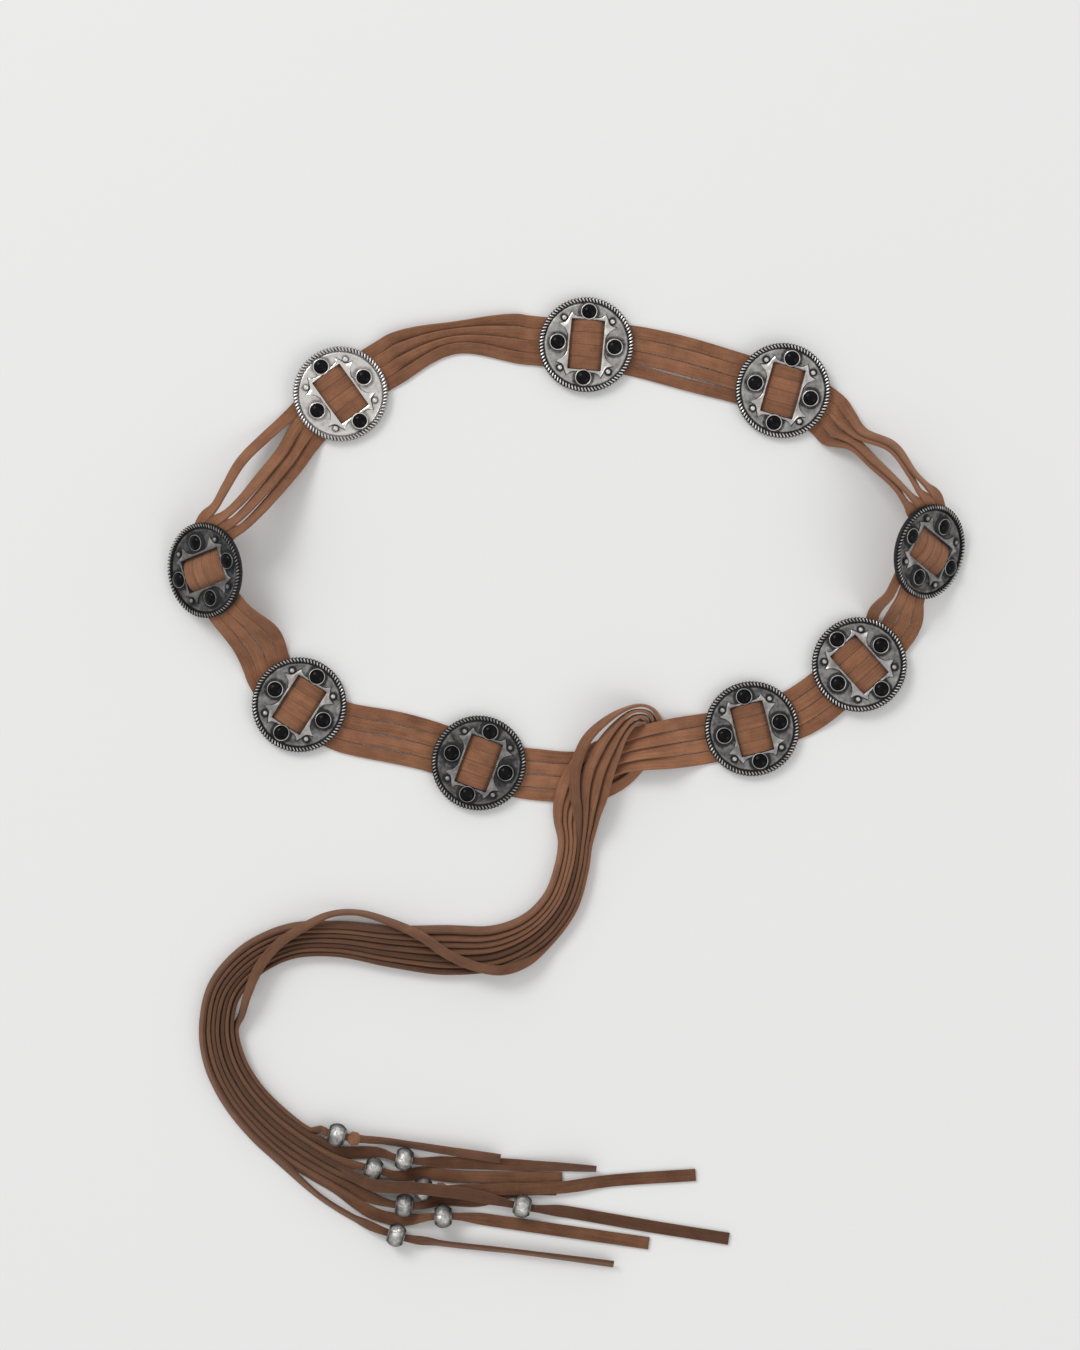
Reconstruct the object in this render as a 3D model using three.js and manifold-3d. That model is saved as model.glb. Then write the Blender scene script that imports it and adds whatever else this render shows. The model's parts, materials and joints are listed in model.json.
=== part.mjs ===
// A tie belt: four suede laces threaded through nine cast conchos, crossed in a loose tie, with beaded tails.
// It lies flat as laid out on a table. Millimetres, +Z up, the floor at Z = 0.
import * as THREE from 'three';
import { mergeVertices } from 'three/addons/utils/BufferGeometryUtils.js';
import Module from 'manifold-3d';

const wasm = await Module();
wasm.setup();

// Driving sizes
const LACE = { width: 5.1, thick: 1.2, pitch: 5.4 };
const CLEAR = 0.3;
const CONCHO = {
  radius: 21, sides: 18, edgeTop: 1.6, rimCrest: 2.9, rimMiddle: 19.7, rimInner: 18.6, field: 1.9,
  frameTop: 2.6, bezelTop: 3.3, bezelRadius: 3.75, alongStone: 12.5, acrossStone: 14.5,
};
const WINDOW = { halfLength: 7.25, halfWidth: 10.95, barHalf: 1.6, barTop: 1.2 };
const STONE = { radius: 3.0, height: 2.0, sides: 8, seat: 2.3 };
const BEAD = { radius: 5.15, hole: 3.05, halfLength: 3.8, sides: 10, lift: 0.05 };
const KNOT = { length: 3.4, width: 3.3, height: 2.7, from: 7.6, drop: 0.5 };
const BALL = { radius: 1.2, height: 1.1, u: 10.6, v: 11.0, sides: 5 };
const HALF = LACE.thick / 2;
const UNDER = -(CLEAR + HALF);
const LANES = [1.5, 0.5, -0.5, -1.5];

// Materials
const suede = (colour) => new THREE.MeshStandardMaterial({ color: colour, roughness: 0.95, metalness: 0 });
const SUEDES = [suede(0x7d543a), suede(0x8a5f42), suede(0x855a3f), suede(0x764e36)];
const SILVER = new THREE.MeshStandardMaterial({ color: 0x9c9890, roughness: 0.35, metalness: 1 });
const BLACK = new THREE.MeshStandardMaterial({ color: 0x0b0b0d, roughness: 0.12, metalness: 0 });

const radians = THREE.MathUtils.degToRad;
const vec = (x, y, z) => new THREE.Vector3(x, y, z);

function table(columns, rows) {
  return rows.map((row) => Object.fromEntries(columns.map((name, i) => [name, row[i]])));
}

// Conchos in order round the waist, from the left of the tie. Heading is the way the laces run, in degrees from +X.
// Tilt lifts the edge on the outside of the loop, or the inner edge where it is negative. Pitch drops the end that
// the laces run towards.
const CONCHOS = table(['x', 'y', 'heading', 'tilt', 'pitch'], [
  [-38, 9, 159.8, 0, 0],
  [-116.5, 34.5, 147.5, 0, 0],
  [-156, 93.2, 105.8, -36, 5],
  [-98.5, 170.5, 35.7, 3, 0],
  [9, 192, -5.2, 0, 0],
  [95, 172, -15.6, 5, 0],
  [157, 101.4, -117.3, -40, -9.5],
  [128.5, 52, -138.5, 4, 0],
  [81.5, 24, -166, 0, 0],
]);

// The eight stretches between conchos: how far from a concho's middle the band leaves its plane, how far the curve
// swells, how far it turns off the headings at its two ends, and the points that it passes. Each point gives its
// share of the way, where each lace runs from the outer one inwards, and how far the laces lean.
const STRETCHES = table(['leave', 'swell', 'turns', 'points'], [
  [22.5, 1.0, [0, 0], [[0.5, [7.2, 1.4, -4.4, -10.2], 0]]],
  [22.5, 0.8, [0, 0], [[0.5, [1.1, -4.6, -10.5, -16.1], 0]]],
  [22.5, 0.8, [-50, 10], [
    [0.25, [6.4, -0.4, -5.8, -11.2], -21],
    [0.36, [7.6, -2.0, -7.0, -12.0], -25],
    [0.5, [9.6, -1.6, -6.5, -11.4], -25],
    [0.66, [9.0, -0.4, -5.3, -10.2], -25],
    [0.76, [8.4, 1.8, -3.5, -8.8], -22],
  ]],
  [22.5, 1.2, [0, 0], [
    [0.22, [8.7, 3.2, -2.2, -7.6], 24],
    [0.5, [6.2, 3.1, -0.1, -3.2], 34],
    [0.78, [8.7, 3.2, -2.2, -7.6], 24],
  ]],
  [22.5, 1.0, [0, 0], [[0.5, [8.4, 2.8, -3.0, -9.2], 0]]],
  [22.5, 1.0, [-20, 52], [
    [0.24, [6.2, 1.0, -4.2, -9.4], -35],
    [0.35, [3.0, 0.5, -2.8, -5.3], -50],
    [0.5, [6.6, 4.4, -4.2, -6.4], -50],
    [0.66, [4.6, 2.2, -4.4, -7.0], -45],
    [0.76, [6.0, 1.0, -3.8, -8.2], -34],
  ]],
  [22.5, 1.0, [0, 0], [[0.5, [9.2, 3.5, -2.2, -9.9], 0]]],
  [22.5, 1.0, [0, 0], [[0.5, [8.4, 2.8, -2.8, -8.4], 0]]],
]);

// The tie. Base is the height under the laces, lean the lift of their left edge, a to d their places across.
const TIE_COLUMNS = ['x', 'y', 'base', 'lean', 'a', 'b', 'c', 'd'];
const LEFT_TIE = table(TIE_COLUMNS, [
  [-14, 4.0, 0, 0, -8.6, -2.9, 2.9, 8.6],
  [-2, 3.0, 0, 0, -8.4, -2.8, 2.8, 8.4],
  [12, 3.2, 0, 0, -8.4, -2.8, 2.8, 8.4],
  [22, 6.4, 0, 32, -6.9, -2.3, 2.3, 6.9],
  [30, 11, 0, 50, -4.6, -1.5, 1.5, 4.6],
  [35.5, 17, 0, 52, -4.0, -1.3, 1.3, 4.0],
  [37.9, 23.5, 0, 60, -3.6, -1.2, 1.2, 3.6],
  [37.7, 26.6, 0.6, 74, -3.6, -1.2, 1.2, 3.6],
  [36.2, 29.4, 2.0, 80, -3.6, -1.3, 1.1, 3.9],
  [33.2, 30.6, 4.2, 84, -3.6, -1.3, 1.1, 3.9],
  [28.6, 29.8, 7.2, 80, -3.6, -1.3, 1.1, 3.8],
  [22.6, 24.6, 8.4, 60, -5.6, -1.2, 1.5, 4.2],
  [16.8, 15.5, 7.6, 40, -8.6, -2.0, 2.0, 5.6],
  [12.6, 5.5, 6.8, 34, -8.4, -2.6, 2.0, 6.2],
  [10.3, -5, 6.2, 40, -6.6, -2.4, 1.7, 5.6],
  [9.2, -12, 5.8, 52, -4.4, -1.5, 1.4, 4.2],
  [8.5, -19, 2.2, 62, -3.3, -1.1, 1.1, 3.3],
]);
const RIGHT_TIE = table(TIE_COLUMNS, [
  [60, 19.4, 0, 0, 8.4, 2.8, -2.8, -8.4],
  [50, 18.0, 3.2, 6, 8.4, 2.8, -2.8, -8.4],
  [40, 16.6, 7.0, 20, 7.8, 2.6, -2.6, -7.8],
  [30, 14.9, 6.0, 26, 6.9, 2.3, -2.3, -6.9],
  [21, 12.4, 4.0, 32, 6.3, 2.1, -2.1, -6.3],
  [12.5, 8.2, 2.1, 32, 6.1, 2.0, -2.1, -6.3],
  [6.4, 1.6, 1.8, 30, 5.7, 1.9, -1.9, -5.7],
  [2.6, -5.5, 1.8, 34, 4.9, 1.7, -1.7, -4.9],
  [0.3, -10.5, 1.3, 46, 4.0, 1.4, -1.4, -4.0],
  [-0.3, -16.5, 0.1, 60, 3.4, 1.1, -1.1, -3.4],
]);

// All eight tails side by side, from the tie to where they fan out.
const TAIL = table(['x', 'y', 'lean', 'pitch'], [
  [4.0, -26, 67, 1.75],
  [2.5, -37, 68, 1.75],
  [-2.5, -52, 67, 1.9],
  [-13, -64.5, 65, 2.2],
  [-30, -73, 61, 2.7],
  [-52, -74.3, 58, 3.0],
  [-76, -72.3, 62, 2.5],
  [-100, -69, 66, 2.1],
  [-120, -70, 66, 2.1],
  [-137, -78, 66, 2.1],
  [-148.5, -91, 66, 2.1],
  [-151.8, -107, 65, 2.1],
  [-149.5, -121, 62, 2.2],
  [-142.5, -135, 60, 2.3],
  [-131.5, -148, 57, 2.45],
  [-117.5, -159.5, 52, 2.7],
]);

// The lace on the inside of the bend strays over the others and back, in place of these rows of the bundle
const STRAY = { lane: 0, firstRow: 4, lastRow: 10 };
const STRAY_ROUTE = table(['x', 'y', 'base', 'lean'], [
  [-18.2, -78.3, 3.8, 50],
  [-28, -81.2, 5.8, 46],
  [-39, -79.6, 6.0, 50],
  [-51, -74.4, 6.0, 50],
  [-63, -66.2, 6.0, 54],
  [-77, -60, 2.6, 68],
  [-91, -56.2, 1.0, 75],
  [-103, -57, 2.6, 68],
  [-114, -62.2, 5.8, 52],
  [-125, -69.5, 5.8, 45],
  [-133.4, -79.4, 5.8, 42],
  [-138.8, -91.5, 5.4, 52],
  [-141.8, -101, 1.6, 60],
]);

// Each tail alone, in the order that they lie side by side, ending at its tip. Base is the height under the lace,
// or its word bead where the lace runs straight through a bead.
const FAN_COLUMNS = ['x', 'y', 'base', 'lean'];
const FAN = [
  { bead: 'a', knot: true, points: [[-107, -151.2, 1.2, 28], [-100, -153.4, 'bead', 0], [-88, -155.6, 1.7, 50],
    [-79, -156.4, 0.6, 56], [-66, -158.4, 0, 56], [-54, -160.4, 1.2, 50], [-28.5, -164.2, 1.4, 45]] },
  { bead: 'b', points: [[-107, -157, 0, 34], [-100, -161.2, 0, 12], [-88, -161.6, 0, 0], [-81, -161.6, 1.2, 0],
    [-70.5, -164, 'bead', 0], [-57, -165.8, 0.2, 0], [-28, -166.8, 0, 0], [-10, -167.6, 0, 36], [13.5, -168.6, 0, 60]] },
  { bead: 'c', points: [[-100, -165, 0, 42], [-84, -168.4, 'bead', 0], [-73, -171.8, 0.3, 0], [-62, -170.6, 0, 0],
    [-50, -172, 0, 0], [-1.5, -173, 0, 0]] },
  { bead: 'h', points: [[-100, -168.4, 0.2, 44], [-92, -171.6, 5.2, 20], [-83, -174.8, 10.6, 6], [-66, -175.8, 11, 0],
    [-56, -177, 9.6, 0], [-40, -180, 4.2, 0], [-19, -184.6, 'bead', 0], [0, -187.6, 0.2, 0], [37, -194, 0, 0],
    [71.5, -199.5, 0, 0]] },
  { bead: 'd', knot: true, points: [[-100, -171.6, 0, 46], [-92, -174.2, 0, 28], [-82, -176.4, 0.2, 4],
    [-62.3, -177, 'bead', 0], [-46, -178, 1.8, 0], [-28, -177.6, 1.7, 0], [-2, -176.8, 1.7, 0], [20, -174, 0, 0],
    [57, -171.5, 0, 0]] },
  { bead: 'e', points: [[-100, -174.8, 0, 48], [-92, -178.2, 0, 28], [-83, -182.2, 0.8, 6], [-70.5, -184.2, 'bead', 0],
    [-61, -184.2, 1.0, 0], [-54.5, -182.4, 0, 0], [-38, -182.8, 0, 0], [-20, -178.2, 0, 0], [-4, -177.8, 0, 0]] },
  { bead: 'f', points: [[-100, -178, 0, 48], [-92, -183.5, 0, 24], [-84, -188.4, 0, 0], [-72, -191.2, 0, 0],
    [-53.5, -189, 'bead', 0], [-38, -190.6, 0.1, 0], [-4.5, -195.5, 0, 0], [36.5, -201.5, 0, 0]] },
  { bead: 'g', points: [[-108, -180.5, 0, 64], [-92, -190.4, 0.2, 60], [-74, -197.2, 'bead', 0], [-56, -201, 0, 62],
    [-20, -205, 0, 66], [21, -210.5, 0, 62]] },
];

// A solid for cutting and joining, and the mesh that comes back from it
function solidOf(geometry) {
  const plain = geometry.index ? geometry.clone() : geometry;
  plain.deleteAttribute('normal');
  plain.deleteAttribute('uv');
  const merged = mergeVertices(plain, 1e-4);
  return new wasm.Manifold(new wasm.Mesh({
    numProp: 3,
    vertProperties: new Float32Array(merged.attributes.position.array),
    triVerts: new Uint32Array(merged.index.array),
  }));
}

function geometryOf(solid) {
  const mesh = solid.getMesh();
  const geometry = new THREE.BufferGeometry();
  geometry.setAttribute('position', new THREE.BufferAttribute(mesh.vertProperties, 3));
  geometry.setIndex(new THREE.BufferAttribute(mesh.triVerts, 1));
  geometry.computeVertexNormals();
  return geometry;
}

function block(length, width, bottom, top) {
  return solidOf(new THREE.BoxGeometry(length, width, top - bottom).translate(0, 0, (top + bottom) / 2));
}

// A lathe turned about +Z
function turned(profile, sides) {
  const points = profile.map(([r, z]) => new THREE.Vector2(r, z));
  return new THREE.LatheGeometry(points, sides).rotateX(Math.PI / 2);
}

function stoneSpots() {
  return [[0, CONCHO.acrossStone], [CONCHO.alongStone, 0], [0, -CONCHO.acrossStone], [-CONCHO.alongStone, 0]];
}

// The raised frame round the window, drawn for one quarter and mirrored to the other three
function frameSolid() {
  const quarter = [[8.7, 4.4], [12.3, 8.4], [9.2, 9.8], [7.3, 13.8]];
  const points = [];
  for (const [su, sv] of [[1, 1], [-1, 1], [-1, -1], [1, -1]]) {
    const turnedRound = su * sv > 0 ? quarter : [...quarter].reverse();
    points.push(...turnedRound.map(([u, v]) => new THREE.Vector2(su * u, sv * v)));
  }
  const depth = CONCHO.frameTop - 1;
  return solidOf(new THREE.ExtrudeGeometry(new THREE.Shape(points), { depth, bevelEnabled: false }).translate(0, 0, 1));
}

function conchoGeometry() {
  const c = CONCHO;
  let solid = solidOf(turned([
    [0, 0], [c.radius - 0.5, 0], [c.radius, c.edgeTop], [c.rimMiddle, c.rimCrest], [c.rimInner, c.field], [0, c.field],
  ], c.sides));
  solid = solid.add(frameSolid());
  for (const [u, v] of stoneSpots()) {
    const cup = new THREE.CylinderGeometry(c.bezelRadius, c.bezelRadius, c.bezelTop - 1, STONE.sides);
    solid = solid.add(solidOf(cup.rotateX(Math.PI / 2).translate(u, v, (c.bezelTop + 1) / 2)));
  }
  for (const [su, sv] of [[1, 1], [-1, 1], [-1, -1], [1, -1]]) {
    const ball = new THREE.ConeGeometry(BALL.radius, BALL.height + 0.3, BALL.sides);
    const height = c.field + BALL.height / 2 - 0.15;
    solid = solid.add(solidOf(ball.rotateX(Math.PI / 2).translate(su * BALL.u, sv * BALL.v, height)));
  }
  for (const [u, v] of stoneSpots()) {
    const seat = new THREE.CylinderGeometry(STONE.radius + CLEAR, STONE.radius + CLEAR, 2, STONE.sides);
    solid = solid.subtract(solidOf(seat.rotateX(Math.PI / 2).translate(u, v, STONE.seat - CLEAR + 1)));
  }
  solid = solid.subtract(block(2 * WINDOW.halfLength, 2 * WINDOW.halfWidth, -1, 5));
  return geometryOf(solid.add(block(2 * WINDOW.barHalf, 2 * WINDOW.halfWidth + 1, 0, WINDOW.barTop)));
}

function stoneGeometry() {
  const r = STONE.radius;
  return turned([[0, 0], [r, 0], [r * 0.78, STONE.height * 0.65], [0, STONE.height]], STONE.sides);
}

function beadGeometry() {
  const { radius, hole, halfLength } = BEAD;
  const belly = halfLength * 0.4;
  return turned([
    [hole, -halfLength], [radius, -belly], [radius, belly], [hole, halfLength], [hole, -halfLength],
  ], BEAD.sides);
}

// A concho's own frame: X along the laces, Y outwards, Z up through the plate, with the underside at zero.
// It stands as high as its low edge or the laces under it need.
function conchoMatrix({ x, y, heading, tilt, pitch }) {
  const turn = new THREE.Euler(radians(tilt), radians(pitch), radians(heading), 'ZYX');
  const matrix = new THREE.Matrix4().makeRotationFromEuler(turn);
  const [rise, dip] = [vec(0, 1, 0), vec(1, 0, 0)].map((way) => Math.abs(way.transformDirection(matrix).z));
  const level = vec(0, 0, 1).transformDirection(matrix).z;
  const laceEdge = 1.5 * LACE.pitch + LACE.width / 2;
  const height = Math.max(CONCHO.radius * Math.hypot(rise, dip), laceEdge * rise + (CLEAR + LACE.thick) * level);
  return matrix.setPosition(x, y, height);
}

// A lace is a row of stations, each with its middle and the direction across it
class LacePath extends THREE.Curve {
  constructor(stations) {
    super();
    this.stations = stations;
  }

  getSpacedPoints() {
    return this.stations.map((s) => s.at);
  }

  computeFrenetFrames() {
    const frames = { tangents: [], normals: [], binormals: [] };
    const last = this.stations.length - 1;
    this.stations.forEach((station, i) => {
      const before = this.stations[Math.max(i - 1, 0)].at;
      const after = this.stations[Math.min(i + 1, last)].at;
      const tangent = after.clone().sub(before).normalize();
      const normal = tangent.clone().cross(station.across).normalize();
      frames.tangents.push(tangent);
      frames.normals.push(normal);
      frames.binormals.push(station.across.clone().negate());
    });
    return frames;
  }
}

function laceGeometry(stations, orders) {
  const w = LACE.width / 2;
  const section = new THREE.Shape([
    new THREE.Vector2(-HALF, -w), new THREE.Vector2(HALF, -w), new THREE.Vector2(HALF, w), new THREE.Vector2(-HALF, w),
  ]);
  const extrudePath = new LacePath(stations);
  const ribbon = new THREE.ExtrudeGeometry(section, { steps: stations.length - 1, bevelEnabled: false, extrudePath });
  let solid = solidOf(ribbon);
  for (const order of orders.filter((o) => FAN[o].knot)) solid = solid.add(solidOf(knotGeometry(order)));
  return geometryOf(solid);
}

// A lump of knotted suede that keeps a bead from sliding
function knotGeometry(order) {
  const { middle, way } = beadRow(order);
  const lump = new THREE.IcosahedronGeometry(1, 0).scale(KNOT.length, KNOT.width, KNOT.height);
  const at = middle.clone().addScaledVector(way, KNOT.from);
  return lump.rotateZ(Math.atan2(way.y, way.x)).translate(at.x, at.y, at.z - KNOT.drop);
}

const ease = (from, to, t) => THREE.MathUtils.smoothstep(t, from, to);
const restHeight = (lean) => (LACE.width / 2) * Math.abs(Math.sin(lean)) + HALF * Math.abs(Math.cos(lean));

// The lace dips under the plate, comes up one slot, crosses the bar and goes down the other slot
const CROSSING = table(['u', 'w'], [[-6.9, UNDER], [-2.4, 2.1], [2.4, 2.1], [6.9, UNDER]]);
const SLEEVE = 8.6;

function crossing(matrix, lane) {
  const across = vec(0, 1, 0).transformDirection(matrix);
  return CROSSING.map(({ u, w }) => ({ at: vec(u, lane * LACE.pitch, w).applyMatrix4(matrix), across }));
}

// The height of the laces' middle under a concho's plate at a place, level beyond the plate's edge
function heightUnder(matrix, place) {
  const centre = vec(0, 0, UNDER).applyMatrix4(matrix);
  const normal = vec(0, 0, 1).transformDirection(matrix);
  const away = place.clone().sub(centre).setZ(0).clampLength(0, CONCHO.radius);
  return centre.z - (away.x * normal.x + away.y * normal.y) / normal.z;
}

// A value of a stretch's points at a place, on a smooth curve through all the points
function passing(points, place, valueOf) {
  const next = Math.max(1, points.findIndex(([share]) => place <= share + 1e-9));
  const [before, after] = [points[next - 1], points[next]];
  const slope = (i) => {
    if (i === 0 || i === points.length - 1) return 0;
    return (valueOf(points[i + 1]) - valueOf(points[i - 1])) / (points[i + 1][0] - points[i - 1][0]);
  };
  const width = after[0] - before[0];
  const k = (place - before[0]) / width;
  const bend = k * (1 - k) * width * ((1 - k) * slope(next - 1) - k * slope(next));
  return THREE.MathUtils.lerp(valueOf(before), valueOf(after), ease(0, 1, k)) + bend;
}

// From one concho to the next, the band keeps to the plane under a plate until it has left that plate
function stretch(from, to, row, lace) {
  const start = vec(SLEEVE, 0, UNDER).applyMatrix4(from);
  const end = vec(-SLEEVE, 0, UNDER).applyMatrix4(to);
  const span = start.distanceTo(end);
  const reach = (row.swell * span) / 3;
  const along = [from, to].map((m, i) => {
    const turn = radians(row.turns[i]);
    return vec(Math.cos(turn), Math.sin(turn), 0).transformDirection(m);
  });
  const normals = [from, to].map((m) => vec(0, 0, 1).transformDirection(m));
  const curve = new THREE.CubicBezierCurve3(
    start, start.clone().addScaledVector(along[0], reach), end.clone().addScaledVector(along[1], -reach), end,
  );
  const hold = (row.leave - SLEEVE) / span;
  const free = 1 - 2 * hold;
  const leaning = row.points.some(([, , lean]) => lean !== 0);
  const lanes = LANES.map((lane) => lane * LACE.pitch);
  const first = leaning ? hold : 0;
  const points = [[first, lanes, 0], ...row.points, [1 - first, lanes, 0]];
  const steps = Math.max(2, Math.round((free * span) / (row.points.length > 1 ? 8 : 16)));
  const stations = [];
  for (let i = 0; i <= steps; i += 1) {
    const t = hold + (free * i) / steps;
    const turn = ease(hold, 1 - hold, t);
    const tangent = curve.getTangent(t).setZ(0).normalize();
    const normal = normals[0].clone().lerp(normals[1], turn).normalize();
    const side = normal.clone().cross(tangent).normalize();
    const lean = radians(passing(points, t, ([, , angle]) => angle));
    const spread = passing(points, t, ([, places]) => places[lace]);
    const at = curve.getPoint(t).addScaledVector(side, spread);
    at.z = THREE.MathUtils.lerp(heightUnder(from, at), heightUnder(to, at), turn);
    const across = side.applyAxisAngle(tangent, lean);
    const total = Math.asin(across.z);
    at.z = Math.max(at.z + restHeight(total) - restHeight(total - lean), restHeight(total));
    stations.push({ at, across });
  }
  return stations;
}

// Stations along a smooth curve through rows of middle points, with a lean that follows the rows
function follow(rows, perSpan) {
  const curve = new THREE.CatmullRomCurve3(rows.map((r) => r.at), false, 'centripetal');
  const spans = rows.length - 1;
  const stations = [];
  for (let i = 0; i < spans; i += 1) {
    const parts = rows[i].straight ? 1 : perSpan;
    for (let k = 0; k < parts; k += 1) stations.push([i + k / parts, k / parts]);
  }
  stations.push([spans, 0]);
  return stations.map(([place, share]) => {
    const i = Math.min(Math.floor(place), spans);
    const t = place / spans;
    const tangent = curve.getTangent(t);
    const left = vec(-tangent.y, tangent.x, 0).normalize();
    const up = tangent.clone().cross(left);
    const lean = THREE.MathUtils.lerp(rows[i].lean, rows[Math.min(i + 1, spans)].lean, share);
    const across = left.multiplyScalar(Math.cos(lean)).addScaledVector(up, Math.sin(lean));
    return { at: curve.getPoint(t), across };
  });
}

// Middle points of one lane of a bundle whose spine is a table of rows
function laneRows(rows, laneOf, baseOf) {
  const spine = new THREE.CatmullRomCurve3(rows.map((r) => vec(r.x, r.y, 0)), false, 'centripetal');
  return rows.map((row, i) => {
    const tangent = spine.getTangent(i / (rows.length - 1));
    const lean = radians(row.lean);
    const at = vec(row.x, row.y, baseOf(row) + restHeight(lean));
    at.x -= tangent.y * laneOf(row);
    at.y += tangent.x * laneOf(row);
    return { at, lean };
  });
}

// The tail that lies at this place in the bundle, then alone through its bead to its tip
function tailRows(order) {
  const bundle = laneRows(TAIL, (row) => (3.5 - order) * row.pitch, () => 0);
  if (order === STRAY.lane) {
    const route = STRAY_ROUTE.map(({ x, y, base, lean }) => (
      { at: vec(x, y, base + restHeight(radians(lean))), lean: radians(lean) }
    ));
    bundle.splice(STRAY.firstRow, STRAY.lastRow - STRAY.firstRow + 1, ...route);
  }
  const alone = table(FAN_COLUMNS, FAN[order].points);
  const rows = [...bundle];
  alone.forEach((row, i) => {
    const lean = radians(row.lean);
    if (row.base !== 'bead') {
      rows.push({ at: vec(row.x, row.y, row.base + restHeight(lean)), lean });
      return;
    }
    const before = i > 0 ? alone[i - 1] : { x: rows.at(-1).at.x, y: rows.at(-1).at.y };
    const way = vec(alone[i + 1].x - before.x, alone[i + 1].y - before.y, 0).normalize();
    const middle = vec(row.x, row.y, BEAD.radius + BEAD.lift);
    const reach = BEAD.halfLength + 0.5;
    rows.push({ at: middle.clone().addScaledVector(way, -reach), lean, straight: true, middle, way });
    rows.push({ at: middle.clone().addScaledVector(way, reach), lean });
  });
  return rows;
}

const beadRow = (order) => tailRows(order).find((row) => row.middle);
const reversed = (stations) => [...stations].reverse().map(({ at, across }) => ({ at, across: across.clone().negate() }));

// The way out from a concho through the tie to the tip
function wayOut(tie, lace, order, matrix, sign) {
  const column = 'abcd'[lace];
  const first = { at: vec(sign * SLEEVE, LANES[lace] * LACE.pitch, UNDER).applyMatrix4(matrix), lean: 0 };
  const rows = [first, ...laneRows(tie, (row) => row[column], (row) => row.base)];
  const joined = [...rows, ...tailRows(order)];
  return follow(joined, 1);
}

const matrices = CONCHOS.map(conchoMatrix);

function laceStations(lace) {
  const stations = reversed(wayOut(LEFT_TIE, lace, 3 - lace, matrices[0], -1));
  matrices.forEach((matrix, i) => {
    stations.push(...crossing(matrix, LANES[lace]));
    if (i < STRETCHES.length) stations.push(...stretch(matrix, matrices[i + 1], STRETCHES[i], lace));
  });
  stations.push(...wayOut(RIGHT_TIE, lace, 4 + lace, matrices.at(-1), 1));
  return stations;
}

const group = new THREE.Group();
const belt = new THREE.Group();
group.add(belt);

function place(name, geometry, material, parent) {
  const mesh = new THREE.Mesh(geometry, material);
  mesh.name = name;
  parent.add(mesh);
  return mesh;
}

const conchoShape = conchoGeometry();
const stoneShape = stoneGeometry();
matrices.forEach((matrix, i) => {
  const setting = new THREE.Group();
  matrix.decompose(setting.position, setting.quaternion, setting.scale);
  belt.add(setting);
  place(`concho_${i + 1}`, conchoShape, SILVER, setting);
  stoneSpots().forEach(([u, v], k) => {
    place(`stone_${i + 1}_${'abcd'[k]}`, stoneShape, BLACK, setting).position.set(u, v, STONE.seat);
  });
});

LANES.forEach((lane, lace) => {
  place(`lace_${lace + 1}`, laceGeometry(laceStations(lace), [3 - lace, 4 + lace]), SUEDES[lace], belt);
});

FAN.forEach(({ bead }, order) => {
  const { middle, way } = beadRow(order);
  const mesh = place(`bead_${bead}`, beadGeometry(), SILVER, belt);
  mesh.position.copy(middle);
  mesh.quaternion.setFromUnitVectors(vec(0, 0, 1), way);
});

// The origin is under the middle of the whole belt
belt.updateMatrixWorld(true);
const box = new THREE.Box3().setFromObject(belt, true);
belt.position.set(-(box.min.x + box.max.x) / 2, -(box.min.y + box.max.y) / 2, -box.min.z);

export default group;
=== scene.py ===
# %% [markdown]
# # A tie belt of suede laces and cast conchos
# Four suede laces run through nine round conchos, cross in a loose tie and end in eight beaded tails. The
# belt lies flat on a pale surface and is seen from straight above. The imported model gives the places and
# sizes. This script gives the looks: nap on the suede, a rope rim and dark recesses on the castings, which
# are patina with painted shade, and a low gloss on the stones.

# %% Load the model
import json
from contextlib import contextmanager
from math import asin, atan2, cos, dist, hypot, pi, radians, sin, sqrt

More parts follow.
